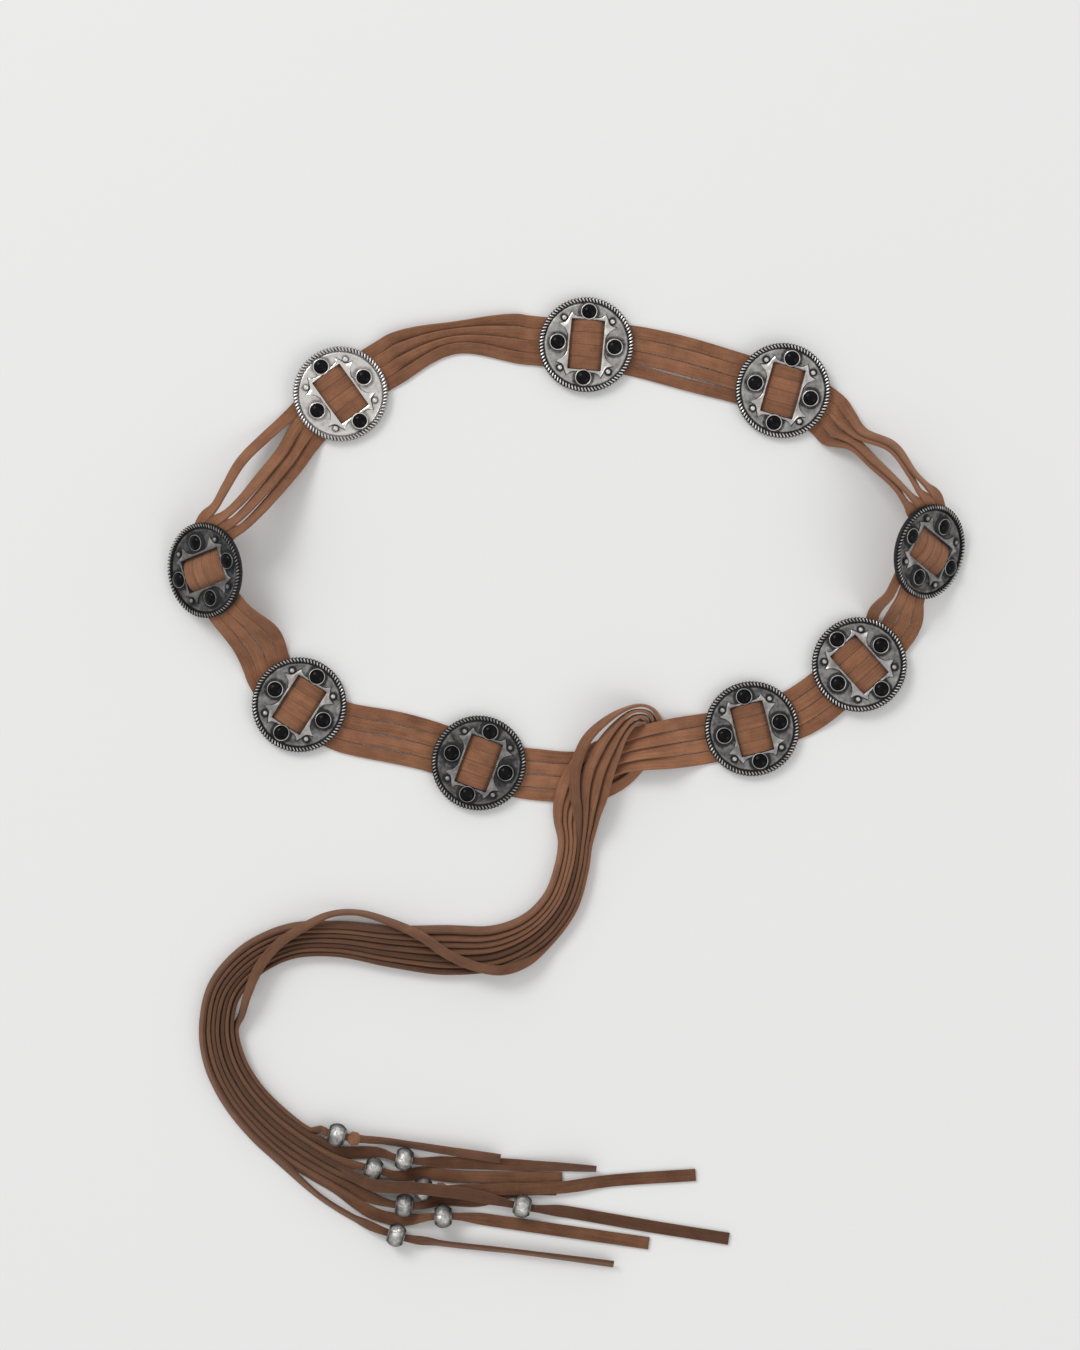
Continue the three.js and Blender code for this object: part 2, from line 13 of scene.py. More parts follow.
import bmesh
import bpy
import numpy as np
from mathutils import Matrix, Vector, noise
from numpy.linalg import norm
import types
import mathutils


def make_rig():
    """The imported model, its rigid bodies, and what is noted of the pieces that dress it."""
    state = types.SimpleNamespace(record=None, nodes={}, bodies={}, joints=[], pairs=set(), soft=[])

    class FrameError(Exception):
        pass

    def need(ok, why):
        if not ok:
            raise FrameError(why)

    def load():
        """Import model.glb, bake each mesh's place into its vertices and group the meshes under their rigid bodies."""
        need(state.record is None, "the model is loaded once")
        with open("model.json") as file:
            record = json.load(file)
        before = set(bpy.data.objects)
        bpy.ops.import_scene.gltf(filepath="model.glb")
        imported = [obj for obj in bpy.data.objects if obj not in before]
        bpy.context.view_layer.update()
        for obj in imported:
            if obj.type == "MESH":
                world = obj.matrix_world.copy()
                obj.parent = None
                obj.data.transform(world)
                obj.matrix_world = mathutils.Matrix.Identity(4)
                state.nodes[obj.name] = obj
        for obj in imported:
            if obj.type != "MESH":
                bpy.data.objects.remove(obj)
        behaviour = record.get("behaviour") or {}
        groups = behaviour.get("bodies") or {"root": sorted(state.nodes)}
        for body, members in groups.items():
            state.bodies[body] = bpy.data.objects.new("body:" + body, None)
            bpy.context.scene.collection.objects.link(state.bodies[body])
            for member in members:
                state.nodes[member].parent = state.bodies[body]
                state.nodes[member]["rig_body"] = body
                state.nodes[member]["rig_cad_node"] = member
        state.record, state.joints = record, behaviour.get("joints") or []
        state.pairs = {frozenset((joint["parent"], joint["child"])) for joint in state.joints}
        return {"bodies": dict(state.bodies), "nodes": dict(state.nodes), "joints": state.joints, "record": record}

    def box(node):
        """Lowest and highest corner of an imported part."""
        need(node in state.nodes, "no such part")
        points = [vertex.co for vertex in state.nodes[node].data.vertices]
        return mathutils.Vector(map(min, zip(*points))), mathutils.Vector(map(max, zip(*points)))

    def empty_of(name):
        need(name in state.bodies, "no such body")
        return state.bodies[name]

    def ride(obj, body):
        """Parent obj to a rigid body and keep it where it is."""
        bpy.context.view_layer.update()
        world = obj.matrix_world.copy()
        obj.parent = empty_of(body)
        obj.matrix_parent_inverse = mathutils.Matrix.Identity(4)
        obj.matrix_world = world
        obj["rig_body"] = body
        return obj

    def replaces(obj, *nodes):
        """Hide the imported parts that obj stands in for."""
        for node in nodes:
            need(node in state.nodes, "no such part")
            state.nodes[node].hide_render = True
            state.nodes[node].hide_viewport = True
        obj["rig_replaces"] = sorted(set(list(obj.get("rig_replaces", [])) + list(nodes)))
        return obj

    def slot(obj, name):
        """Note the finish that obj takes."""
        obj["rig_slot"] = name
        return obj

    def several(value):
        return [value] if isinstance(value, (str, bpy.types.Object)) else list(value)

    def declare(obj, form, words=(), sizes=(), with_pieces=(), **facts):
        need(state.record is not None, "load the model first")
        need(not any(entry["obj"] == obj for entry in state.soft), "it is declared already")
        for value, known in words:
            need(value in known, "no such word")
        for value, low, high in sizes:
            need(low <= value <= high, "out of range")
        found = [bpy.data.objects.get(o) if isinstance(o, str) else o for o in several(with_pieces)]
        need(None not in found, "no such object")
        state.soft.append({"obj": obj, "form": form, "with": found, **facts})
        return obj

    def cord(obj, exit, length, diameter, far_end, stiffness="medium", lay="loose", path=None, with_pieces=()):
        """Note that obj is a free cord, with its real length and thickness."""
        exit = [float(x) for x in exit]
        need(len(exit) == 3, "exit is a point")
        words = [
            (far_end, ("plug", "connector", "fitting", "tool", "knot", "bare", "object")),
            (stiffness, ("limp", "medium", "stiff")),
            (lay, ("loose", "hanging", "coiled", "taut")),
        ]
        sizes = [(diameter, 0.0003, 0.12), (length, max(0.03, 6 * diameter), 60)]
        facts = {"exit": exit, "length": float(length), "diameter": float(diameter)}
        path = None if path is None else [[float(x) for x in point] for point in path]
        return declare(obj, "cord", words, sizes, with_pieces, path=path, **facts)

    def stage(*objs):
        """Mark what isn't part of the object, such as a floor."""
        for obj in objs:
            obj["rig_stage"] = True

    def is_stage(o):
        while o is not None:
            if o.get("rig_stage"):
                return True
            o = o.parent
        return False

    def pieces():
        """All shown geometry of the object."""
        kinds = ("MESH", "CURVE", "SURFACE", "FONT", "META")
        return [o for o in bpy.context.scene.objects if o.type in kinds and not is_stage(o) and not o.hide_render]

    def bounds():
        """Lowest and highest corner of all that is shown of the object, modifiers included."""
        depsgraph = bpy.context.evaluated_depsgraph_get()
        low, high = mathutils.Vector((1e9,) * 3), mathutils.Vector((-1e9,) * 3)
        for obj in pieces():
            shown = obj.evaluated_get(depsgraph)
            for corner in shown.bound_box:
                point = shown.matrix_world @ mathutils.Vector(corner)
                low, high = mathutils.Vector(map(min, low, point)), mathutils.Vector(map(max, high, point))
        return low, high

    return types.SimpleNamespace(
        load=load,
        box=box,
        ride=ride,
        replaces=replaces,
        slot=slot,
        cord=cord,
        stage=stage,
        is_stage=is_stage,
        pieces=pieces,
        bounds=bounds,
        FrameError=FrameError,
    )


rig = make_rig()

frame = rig.load()
cad_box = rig.bounds()
MM = 0.001
print("model box, mm:", [round(v / MM, 1) for corner in cad_box for v in corner])


def linked(name, data):
    """A new object in the scene with this mesh, camera or light."""
    made = bpy.data.objects.new(name, data)
    bpy.context.collection.objects.link(made)
    return made


# %% [markdown]
# ## Where the drawing sits
# The route tables below are in the drawing's own millimetres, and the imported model's origin is under the
# middle of the belt. The first concho lies flat, so the middle of its box is its centre, and the difference
# gives the move.

# %% Shift between the drawing and the model
FIRST_CONCHO = (-38.0, 9.0)
low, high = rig.box("concho_1")
SHIFT = np.array([(low[i] + high[i]) / 2 / MM - FIRST_CONCHO[i] for i in (0, 1)] + [0.0])
print("shift, mm:", SHIFT.round(3))

# %% [markdown]
# ## The camera
# A flat lay is photographed from straight above. A long lens keeps the raised conchos from leaning outwards.
# The picture's up is the model's +Y.

# %% Camera
FRAME_HEIGHT = 590.6
FRAME_MIDDLE = np.array([-11.2, 47.5, 3.0])
LENS = 100.0
SENSOR = 36.0

camera_data = bpy.data.cameras.new("overhead")
camera_data.lens = LENS
camera_data.sensor_width = SENSOR
camera = linked("overhead", camera_data)
distance = FRAME_HEIGHT * MM * LENS / SENSOR
camera.location = (FRAME_MIDDLE + SHIFT) * MM + np.array([0, 0, distance])
bpy.context.scene.camera = camera
print("camera height, m:", round(distance, 3))

# %% [markdown]
# ## Sizes
# The drawing's width is used for the route, because it sets how high a leaning lace stands. The shown width
# is a little larger, so that neighbours nearly touch as on the real belt.

# %% Lace and concho sizes
WIDTH, SHOWN_WIDTH, THICK, PITCH = 5.1, 5.3, 1.2, 5.4
KNOT = {"size": (3.4, 3.3, 2.7), "from": 7.6, "drop": 0.5}
CLEAR = 0.3
HALF = THICK / 2
UNDER = -(CLEAR + HALF)
LANES = [lane * PITCH for lane in (1.5, 0.5, -0.5, -1.5)]
SLEEVE = 8.6
LEAVE = 22.5
PLATE_RADIUS = 21.0

# x, y, the way that the laces run, the tilt that lifts the outer edge, and the pitch that drops the leading
# end
CONCHOS = [
    (-38, 9, 159.8, 0, 0), (-116.5, 34.5, 147.5, 0, 0), (-156, 93.2, 105.8, -36, 5),
    (-98.5, 170.5, 35.7, 3, 0), (9, 192, -5.2, 0, 0), (95, 172, -15.6, 5, 0),
    (157, 101.4, -117.3, -40, -9.5), (128.5, 52, -138.5, 4, 0), (81.5, 24, -166, 0, 0),
]

# For each stretch: swell, the turns off the headings at its ends, and the points that it passes, each with
# its share of the way, the laces' places across and their lean
STRETCHES = [
    (1.0, (0, 0), [(0.5, (7.2, 1.4, -4.4, -10.2), 0)]),
    (0.8, (0, 0), [(0.5, (1.1, -4.6, -10.5, -16.1), 0)]),
    (0.8, (-50, 10), [
        (0.25, (6.4, -0.4, -5.8, -11.2), -21),
        (0.36, (7.6, -2.0, -7.0, -12.0), -25),
        (0.5, (9.6, -1.6, -6.5, -11.4), -25),
        (0.66, (9.0, -0.4, -5.3, -10.2), -25),
        (0.76, (8.4, 1.8, -3.5, -8.8), -22),
    ]),
    (1.2, (0, 0), [
        (0.22, (8.7, 3.2, -2.2, -7.6), 24),
        (0.5, (6.2, 3.1, -0.1, -3.2), 34),
        (0.78, (8.7, 3.2, -2.2, -7.6), 24),
    ]),
    (1.0, (0, 0), [(0.5, (8.4, 2.8, -3.0, -9.2), 0)]),
    (1.0, (-20, 52), [
        (0.24, (6.2, 1.0, -4.2, -9.4), -35),
        (0.35, (3.0, 0.5, -2.8, -5.3), -50),
        (0.5, (6.6, 4.4, -4.2, -6.4), -50),
        (0.66, (4.6, 2.2, -4.4, -7.0), -45),
        (0.76, (6.0, 1.0, -3.8, -8.2), -34),
    ]),
    (1.0, (0, 0), [(0.5, (9.2, 3.5, -2.2, -9.9), 0)]),
    (1.0, (0, 0), [(0.5, (8.4, 2.8, -2.8, -8.4), 0)]),
]

# %% [markdown]
# ## The routes through the tie and the tails
# The tie is where the two bands cross and turn down. Each row is a place on the spine of four laces, with
# the height under them, their lean and each lace's place across. The tails run side by side on edge, fan out
# and pass through a bead each. One lace strays over the others where the tails bend.

# %% Tie, tail and fan tables
LEFT_TIE = [
    (-14, 4.0, 0, 0, -8.6, -2.9, 2.9, 8.6), (-2, 3.0, 0, 0, -8.4, -2.8, 2.8, 8.4),
    (12, 3.2, 0, 0, -8.4, -2.8, 2.8, 8.4), (22, 6.4, 0, 32, -6.9, -2.3, 2.3, 6.9),
    (30, 11, 0, 50, -4.6, -1.5, 1.5, 4.6), (35.5, 17, 0, 52, -4.0, -1.3, 1.3, 4.0),
    (37.9, 23.5, 0, 60, -3.6, -1.2, 1.2, 3.6), (37.7, 26.6, 0.6, 74, -3.6, -1.2, 1.2, 3.6),
    (36.2, 29.4, 2.0, 80, -3.6, -1.3, 1.1, 3.9), (33.2, 30.6, 4.2, 84, -3.6, -1.3, 1.1, 3.9),
    (28.6, 29.8, 7.2, 80, -3.6, -1.3, 1.1, 3.8), (22.6, 24.6, 8.4, 60, -5.6, -1.2, 1.5, 4.2),
    (16.8, 15.5, 7.6, 40, -8.6, -2.0, 2.0, 5.6), (12.6, 5.5, 6.8, 34, -8.4, -2.6, 2.0, 6.2),
    (10.3, -5, 6.2, 40, -6.6, -2.4, 1.7, 5.6), (9.2, -12, 5.8, 52, -4.4, -1.5, 1.4, 4.2),
    (8.5, -19, 2.2, 62, -3.3, -1.1, 1.1, 3.3),
]
RIGHT_TIE = [
    (60, 19.4, 0, 0, 8.4, 2.8, -2.8, -8.4), (50, 18.0, 3.2, 6, 8.4, 2.8, -2.8, -8.4),
    (40, 16.6, 7.0, 20, 7.8, 2.6, -2.6, -7.8), (30, 14.9, 6.0, 26, 6.9, 2.3, -2.3, -6.9),
    (21, 12.4, 4.0, 32, 6.3, 2.1, -2.1, -6.3), (12.5, 8.2, 2.1, 32, 6.1, 2.0, -2.1, -6.3),
    (6.4, 1.6, 1.8, 30, 5.7, 1.9, -1.9, -5.7), (2.6, -5.5, 1.8, 34, 4.9, 1.7, -1.7, -4.9),
    (0.3, -10.5, 1.3, 46, 4.0, 1.4, -1.4, -4.0), (-0.3, -16.5, 0.1, 60, 3.4, 1.1, -1.1, -3.4),
]
# x, y, lean, pitch
TAIL = [
    (4.0, -26, 67, 1.75), (2.5, -37, 68, 1.75), (-2.5, -52, 67, 1.9), (-13, -64.5, 65, 2.2),
    (-30, -73, 61, 2.7), (-52, -74.3, 58, 3.0), (-76, -72.3, 62, 2.5), (-100, -69, 66, 2.1),
    (-120, -70, 66, 2.1), (-137, -78, 66, 2.1), (-148.5, -91, 66, 2.1), (-151.8, -107, 65, 2.1),
    (-149.5, -121, 62, 2.2), (-142.5, -135, 60, 2.3), (-131.5, -148, 57, 2.45), (-117.5, -159.5, 52, 2.7),
]
# x, y, height under the lace, lean: in place of rows 4 to 10 of the bundle for its first lace
STRAY_ROWS = slice(4, 11)
STRAY_ROUTE = [
    (-18.2, -78.3, 3.8, 50), (-28, -81.2, 5.8, 46), (-39, -79.6, 6.0, 50), (-51, -74.4, 6.0, 50),
    (-63, -66.2, 6.0, 54), (-77, -60, 2.6, 68), (-91, -56.2, 1.0, 75), (-103, -57, 2.6, 68),
    (-114, -62.2, 5.8, 52), (-125, -69.5, 5.8, 45), (-133.4, -79.4, 5.8, 42), (-138.8, -91.5, 5.4, 52),
    (-141.8, -101, 1.6, 60),
]
BEADS, KNOTTED = "abchdefg", "ad"
# x, y, height under the lace and lean for each tail, or the word bead where the lace runs through its bead
FAN = [
    [(-107, -151.2, 1.2, 28), (-100, -153.4, "bead"), (-88, -155.6, 1.7, 50), (-79, -156.4, 0.6, 56),
     (-66, -158.4, 0, 56), (-54, -160.4, 1.2, 50), (-28.5, -164.2, 1.4, 45)],
    [(-107, -157, 0, 34), (-100, -161.2, 0, 12), (-88, -161.6), (-81, -161.6, 1.2), (-70.5, -164, "bead"),
     (-57, -165.8, 0.2), (-28, -166.8), (-10, -167.6, 0, 36), (13.5, -168.6, 0, 60)],
    [(-100, -165, 0, 42), (-84, -168.4, "bead"), (-73, -171.8, 0.3), (-62, -170.6), (-50, -172),
     (-1.5, -173)],
    [(-100, -168.4, 0.2, 44), (-92, -171.6, 5.2, 20), (-83, -174.8, 10.6, 6), (-66, -175.8, 11),
     (-56, -177, 9.6), (-40, -180, 4.2), (-19, -184.6, "bead"), (0, -187.6, 0.2), (37, -194),
     (71.5, -199.5)],
    [(-100, -171.6, 0, 46), (-92, -174.2, 0, 28), (-82, -176.4, 0.2, 4), (-62.3, -177, "bead"),
     (-46, -178, 1.8), (-28, -177.6, 1.7), (-2, -176.8, 1.7), (20, -174), (57, -171.5)],
    [(-100, -174.8, 0, 48), (-92, -178.2, 0, 28), (-83, -182.2, 0.8, 6), (-70.5, -184.2, "bead"),
     (-61, -184.2, 1.0), (-54.5, -182.4), (-38, -182.8), (-20, -178.2), (-4, -177.8)],
    [(-100, -178, 0, 48), (-92, -183.5, 0, 24), (-84, -188.4), (-72, -191.2), (-53.5, -189, "bead"),
     (-38, -190.6, 0.1), (-4.5, -195.5), (36.5, -201.5)],
    [(-108, -180.5, 0, 64), (-92, -190.4, 0.2, 60), (-74, -197.2, "bead"), (-56, -201, 0, 62),
     (-20, -205, 0, 66), (21, -210.5, 0, 62)],
]
BEAD = {"middle": 5.2, "reach": 4.3}
print("tails:", len(FAN), "stretches:", len(STRETCHES))

# %% [markdown]
# ## Curves through points
# A centripetal Catmull-Rom curve passes through given points without loops, even where they are
# unevenly spaced. Each station on a lace has a middle and a direction across, which sets how far the lace
# leans.

# %% Curve helpers
def unit(v):
    return v / norm(v)


def smooth(a, b, t):
    t = min(max((t - a) / (b - a), 0.0), 1.0)
    return t * t * (3 - 2 * t)


def rest_height(lean):
    return WIDTH / 2 * abs(sin(lean)) + HALF * abs(cos(lean))


def through(points, place):
    """The point of the curve at place, which counts from 0 at the first point."""
    last = len(points) - 1
    i = min(int(place), last - 1)
    w = place - i
    p1, p2 = points[i:i + 2]
    p0 = points[i - 1] if i > 0 else 2 * p1 - p2
    p3 = points[i + 2] if i + 2 <= last else 2 * p2 - p1
    d0, d1, d2 = (norm(b - a) ** 0.5 for a, b in ((p0, p1), (p1, p2), (p2, p3)))
    m1 = ((p1 - p0) / d0 - (p2 - p0) / (d0 + d1) + (p2 - p1) / d1) * d1
    m2 = ((p2 - p1) / d1 - (p3 - p1) / (d1 + d2) + (p3 - p2) / d2) * d1
    return p1 + m1 * w + (3 * (p2 - p1) - 2 * m1 - m2) * w * w + (2 * (p1 - p2) + m1 + m2) * w ** 3


def heading_at(points, place):
    return unit(through(points, min(place + 1e-3, len(points) - 1)) - through(points, max(place - 1e-3, 0)))


def across_at(tangent, lean):
    left = unit(np.array([-tangent[1], tangent[0], 0.0]))
    return left * cos(lean) + np.cross(tangent, left) * sin(lean)


# %% [markdown]
# ## The band
# At each concho the laces dip under the plate, come up one slot, cross the bar and go down the other slot.
# Between conchos the band keeps to the plane under a plate until it has left that plate, then turns to the
# next one. The drawing's rules are followed with more steps, so the shown laces lie where the solids lie.

# %% Band stations
def concho_matrix(row):
    x, y = row[:2]
    heading, tilt, pitch = (radians(v) for v in row[2:])
    turn = Matrix.Rotation(heading, 4, "Z") @ Matrix.Rotation(pitch, 4, "Y") @ Matrix.Rotation(tilt, 4, "X")
    dip, rise, level = abs(turn[2][0]), abs(turn[2][1]), turn[2][2]
    edge = LANES[0] + WIDTH / 2
    height = max(PLATE_RADIUS * hypot(rise, dip), edge * rise + (CLEAR + THICK) * level)
    return Matrix.Translation((x, y, height)) @ turn


def at_matrix(matrix, *place):
    return np.array(matrix @ Vector(place))


def along_matrix(matrix, *way):
    return np.array(matrix.to_3x3() @ Vector(way))


CROSSING = [(-9.4, UNDER), (-7.6, -0.72), (-5.4, 0.9), (-2.6, 2.15), (0, 2.4), (2.6, 2.15), (5.4, 0.9),
            (7.6, -0.72), (9.4, UNDER)]


def crossing(matrix, lane):
    across = along_matrix(matrix, 0, 1, 0)
    return [(at_matrix(matrix, u, lane, w), across) for u, w in CROSSING]


def height_under(matrix, place):
    centre, normal = at_matrix(matrix, 0, 0, UNDER), along_matrix(matrix, 0, 0, 1)
    away = place[:2] - centre[:2]
    away = away * min(1.0, PLATE_RADIUS / max(norm(away), 1e-9))
    return centre[2] - (away @ normal[:2]) / normal[2]


def passing(points, place, value_of):
    after = next(i for i, point in enumerate(points) if i and place <= point[0] + 1e-9)
    values = [value_of(point) for point in points]

    def slope(i):
        if i in (0, len(points) - 1):
            return 0.0
        return (values[i + 1] - values[i - 1]) / (points[i + 1][0] - points[i - 1][0])

    width = points[after][0] - points[after - 1][0]
    k = (place - points[after - 1][0]) / width
    share = smooth(0, 1, k)
    bend = k * (1 - k) * width * ((1 - k) * slope(after - 1) - k * slope(after))
    return values[after - 1] * (1 - share) + values[after] * share + bend


STEP_FLAT, STEP_LEANING, STEPS_EACH = 16, 8, 3


def stretch(near, far, row, lace):
    swell, turns, passed = row
    start, end = at_matrix(near, SLEEVE, 0, UNDER), at_matrix(far, -SLEEVE, 0, UNDER)
    span = norm(end - start)
    reach = swell * span / 3
    normals = [along_matrix(m, 0, 0, 1) for m in (near, far)]
    ways = [along_matrix(m, cos(a), sin(a), 0) for m, a in zip((near, far), map(radians, turns))]
    knots = [start, start + ways[0] * reach, end - ways[1] * reach, end]

    def bezier(t):
        k = 1 - t
        return k ** 3 * knots[0] + 3 * k * k * t * knots[1] + 3 * k * t * t * knots[2] + t ** 3 * knots[3]

    hold = (LEAVE - SLEEVE) / span
    free = 1 - 2 * hold
    first = hold if any(lean for _, _, lean in passed) else 0.0
    points = [(first, LANES, 0), *passed, (1 - first, LANES, 0)]
    steps = max(2, round(free * span / (STEP_LEANING if len(passed) > 1 else STEP_FLAT))) * STEPS_EACH
    stations = []
    for i in range(steps + 1):
        t = hold + free * i / steps
        turn = smooth(hold, 1 - hold, t)
        tangent = unit((bezier(t + 1e-4) - bezier(t - 1e-4)) * (1, 1, 0))
        side = unit(np.cross(normals[0] * (1 - turn) + normals[1] * turn, tangent))
        lean = radians(passing(points, t, lambda point: point[2]))
        at = bezier(t) + side * passing(points, t, lambda point: point[1][lace])
        at[2] = height_under(near, at) * (1 - turn) + height_under(far, at) * turn
        across = side * cos(lean) + np.cross(tangent, side) * sin(lean)
        total = asin(np.clip(across[2], -1, 1))
        at[2] = max(at[2] + rest_height(total) - rest_height(total - lean), rest_height(total))
        stations.append((at, across))
    return stations


MATRICES = [concho_matrix(row) for row in CONCHOS]


def band_stations(lace):
    stations = []
    for i, matrix in enumerate(MATRICES):
        stations += crossing(matrix, LANES[lace])
        if i < len(STRETCHES):
            stations += stretch(matrix, MATRICES[i + 1], STRETCHES[i], lace)
    return stations


print("band stations a lace:", len(band_stations(0)))

# %% [markdown]
# ## The tails
# A tail starts under the last concho, goes through the tie and the bundle, and then runs alone through its
# bead to its tip. Tail order counts across the bundle. Orders 0 to 3 belong to laces 4 to 1 of the left
# band, and orders 4 to 7 to laces 1 to 4 of the right band.

# %% Tail stations
def lying(x, y, base=0, degrees=0):
    """The place and lean of a lace whose lower edge is at the height base."""
    lean = radians(degrees)
    return np.array([x, y, base + rest_height(lean)]), lean


def beside(rows):
    """A lace's places, from rows of its spine's x and y, base, lean and the lace's place across."""
    spine = [np.array([*row[:2], 0.0]) for row in rows]
    ways = [heading_at(spine, i) for i in range(len(rows))]
    return [lying(x - way[1] * lane, y + way[0] * lane, base, lean)
            for way, (x, y, base, lean, lane) in zip(ways, rows)]


def bead_of(order):
    """The middle of a tail's bead and the way through it."""
    points = FAN[order]
    i = next(i for i, point in enumerate(points) if point[-1] == "bead")
    before, after = points[i - 1], points[i + 1]
    way = unit(np.array([after[0] - before[0], after[1] - before[1], 0.0]))
    return np.array([*points[i][:2], BEAD["middle"]]), way


def tail_rows(order):
    rows = beside([(x, y, 0, lean, (3.5 - order) * pitch) for x, y, lean, pitch in TAIL])
    if order == 0:
        rows[STRAY_ROWS] = [lying(*place) for place in STRAY_ROUTE]
    middle, way = bead_of(order)
    for x, y, *rest in FAN[order]:
        if rest == ["bead"]:
            rows += [(middle - way * BEAD["reach"], 0.0), (middle + way * BEAD["reach"], 0.0)]
        else:
            rows.append(lying(x, y, *rest))
    return rows


def way_out(tie, lace, order, matrix, sign):
    first = at_matrix(matrix, sign * SLEEVE, LANES[lace], UNDER)
    return [(first, 0.0)] + beside([(*row[:4], row[4 + lace]) for row in tie]) + tail_rows(order)


def places_along(points, spacing):
    """Places about this far apart: the point before each and the share of the way to the next."""
    for i in range(len(points) - 1):
        parts = max(1, round(norm(points[i + 1] - points[i]) / spacing))
        for k in range(parts):
            yield i, k / parts


def follow(rows, spacing=2.0):
    points, leans = zip(*rows)
    stations = []
    for i, w in places_along(points, spacing):
        lean = leans[i] + (leans[i + 1] - leans[i]) * w
        stations.append((through(points, i + w), across_at(heading_at(points, i + w), lean)))
    return stations + [(points[-1], across_at(heading_at(points, len(points) - 1), leans[-1]))]


# %% [markdown]
# ## From stations to a suede strip
# A flat oblong with softly rounded corners is carried along the stations. Suede is cut by blade, so its
# width wanders a little and its face is faintly wavy. Inside a bead the strip is squeezed to get through the
# hole. A UV map holds the distance round the section and along the lace, and an attribute marks the paler
# cut edges.

# %% Mesh helpers
@contextmanager
def edited(mesh):
    """Opens a mesh for changes and writes them back."""
    bm = bmesh.new()
    bm.from_mesh(mesh)
    yield bm
    bm.to_mesh(mesh)
    bm.free()


def new_mesh(name, verts, faces, label, values):
    """A smooth mesh that keeps one value at each point under a label."""
    mesh = bpy.data.meshes.new(name)
    mesh.from_pydata(verts, [], faces)
    mesh.attributes.new(label, "FLOAT", "POINT").data.foreach_set("value", values)
    mesh.polygons.foreach_set("use_smooth", np.ones(len(mesh.polygons), bool))
    return mesh


def bridged(rings):
    """The faces between rings of point numbers. A ring may be one point."""
    faces = []
    for a, b in zip(rings, rings[1:]):
        steps = max(len(a), len(b))
        for k in range(steps):
            n = (k + 1) % steps
            if len(a) == 1:
                faces.append((a[0], b[k], b[n]))
            elif len(b) == 1:
                faces.append((a[k], a[n], b[0]))
            else:
                faces.append((a[k], a[n], b[n], b[k]))
    return faces


def outward(mesh):
    """Turns a closed mesh's faces outwards."""
    with edited(mesh) as bm:
        bmesh.ops.recalc_face_normals(bm, faces=bm.faces)


def show(mesh, name, slot, nodes):
    """Makes the piece, on the belt's one body, standing for its solids."""
    piece = linked(name, mesh)
    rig.ride(piece, "root")
    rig.slot(piece, slot)
    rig.replaces(piece, *nodes)
    return piece


# %% Strip mesh
# Points of a corner of the section as across, up and edge, in shares of the half width and half thickness
CORNER = [(1.0, 0.5, 1.0), (0.96, 0.9, 0.8), (0.87, 1.0, 0.25)]
SQUEEZE = {"within": 22, "start": 4.0, "fade": 14.0, "narrower": 0.42, "thicker": 0.55}
WANDER, RIPPLE, CUP, FLAT_EXTRA = 0.02, 0.1, 0.08, 0.04
# The points round the strip. A flat face has one more in its middle
SECTION = []
for sx, sy in ((1, -1), (1, 1), (-1, 1), (-1, -1)):
    SECTION += [(sx * a, sy * b, e) for a, b, e in CORNER[::sx * sy]]
    if sx == sy:
        SECTION.append((0.0, sy * 1.0, 0.0))
RING = len(SECTION)


def refine(stations, spacing):
    points = [a for a, _ in stations]
    return [(through(points, i + w), unit(stations[i][1] * (1 - w) + stations[i + 1][1] * w))
            for i, w in places_along(points, spacing)] + [stations[-1]]


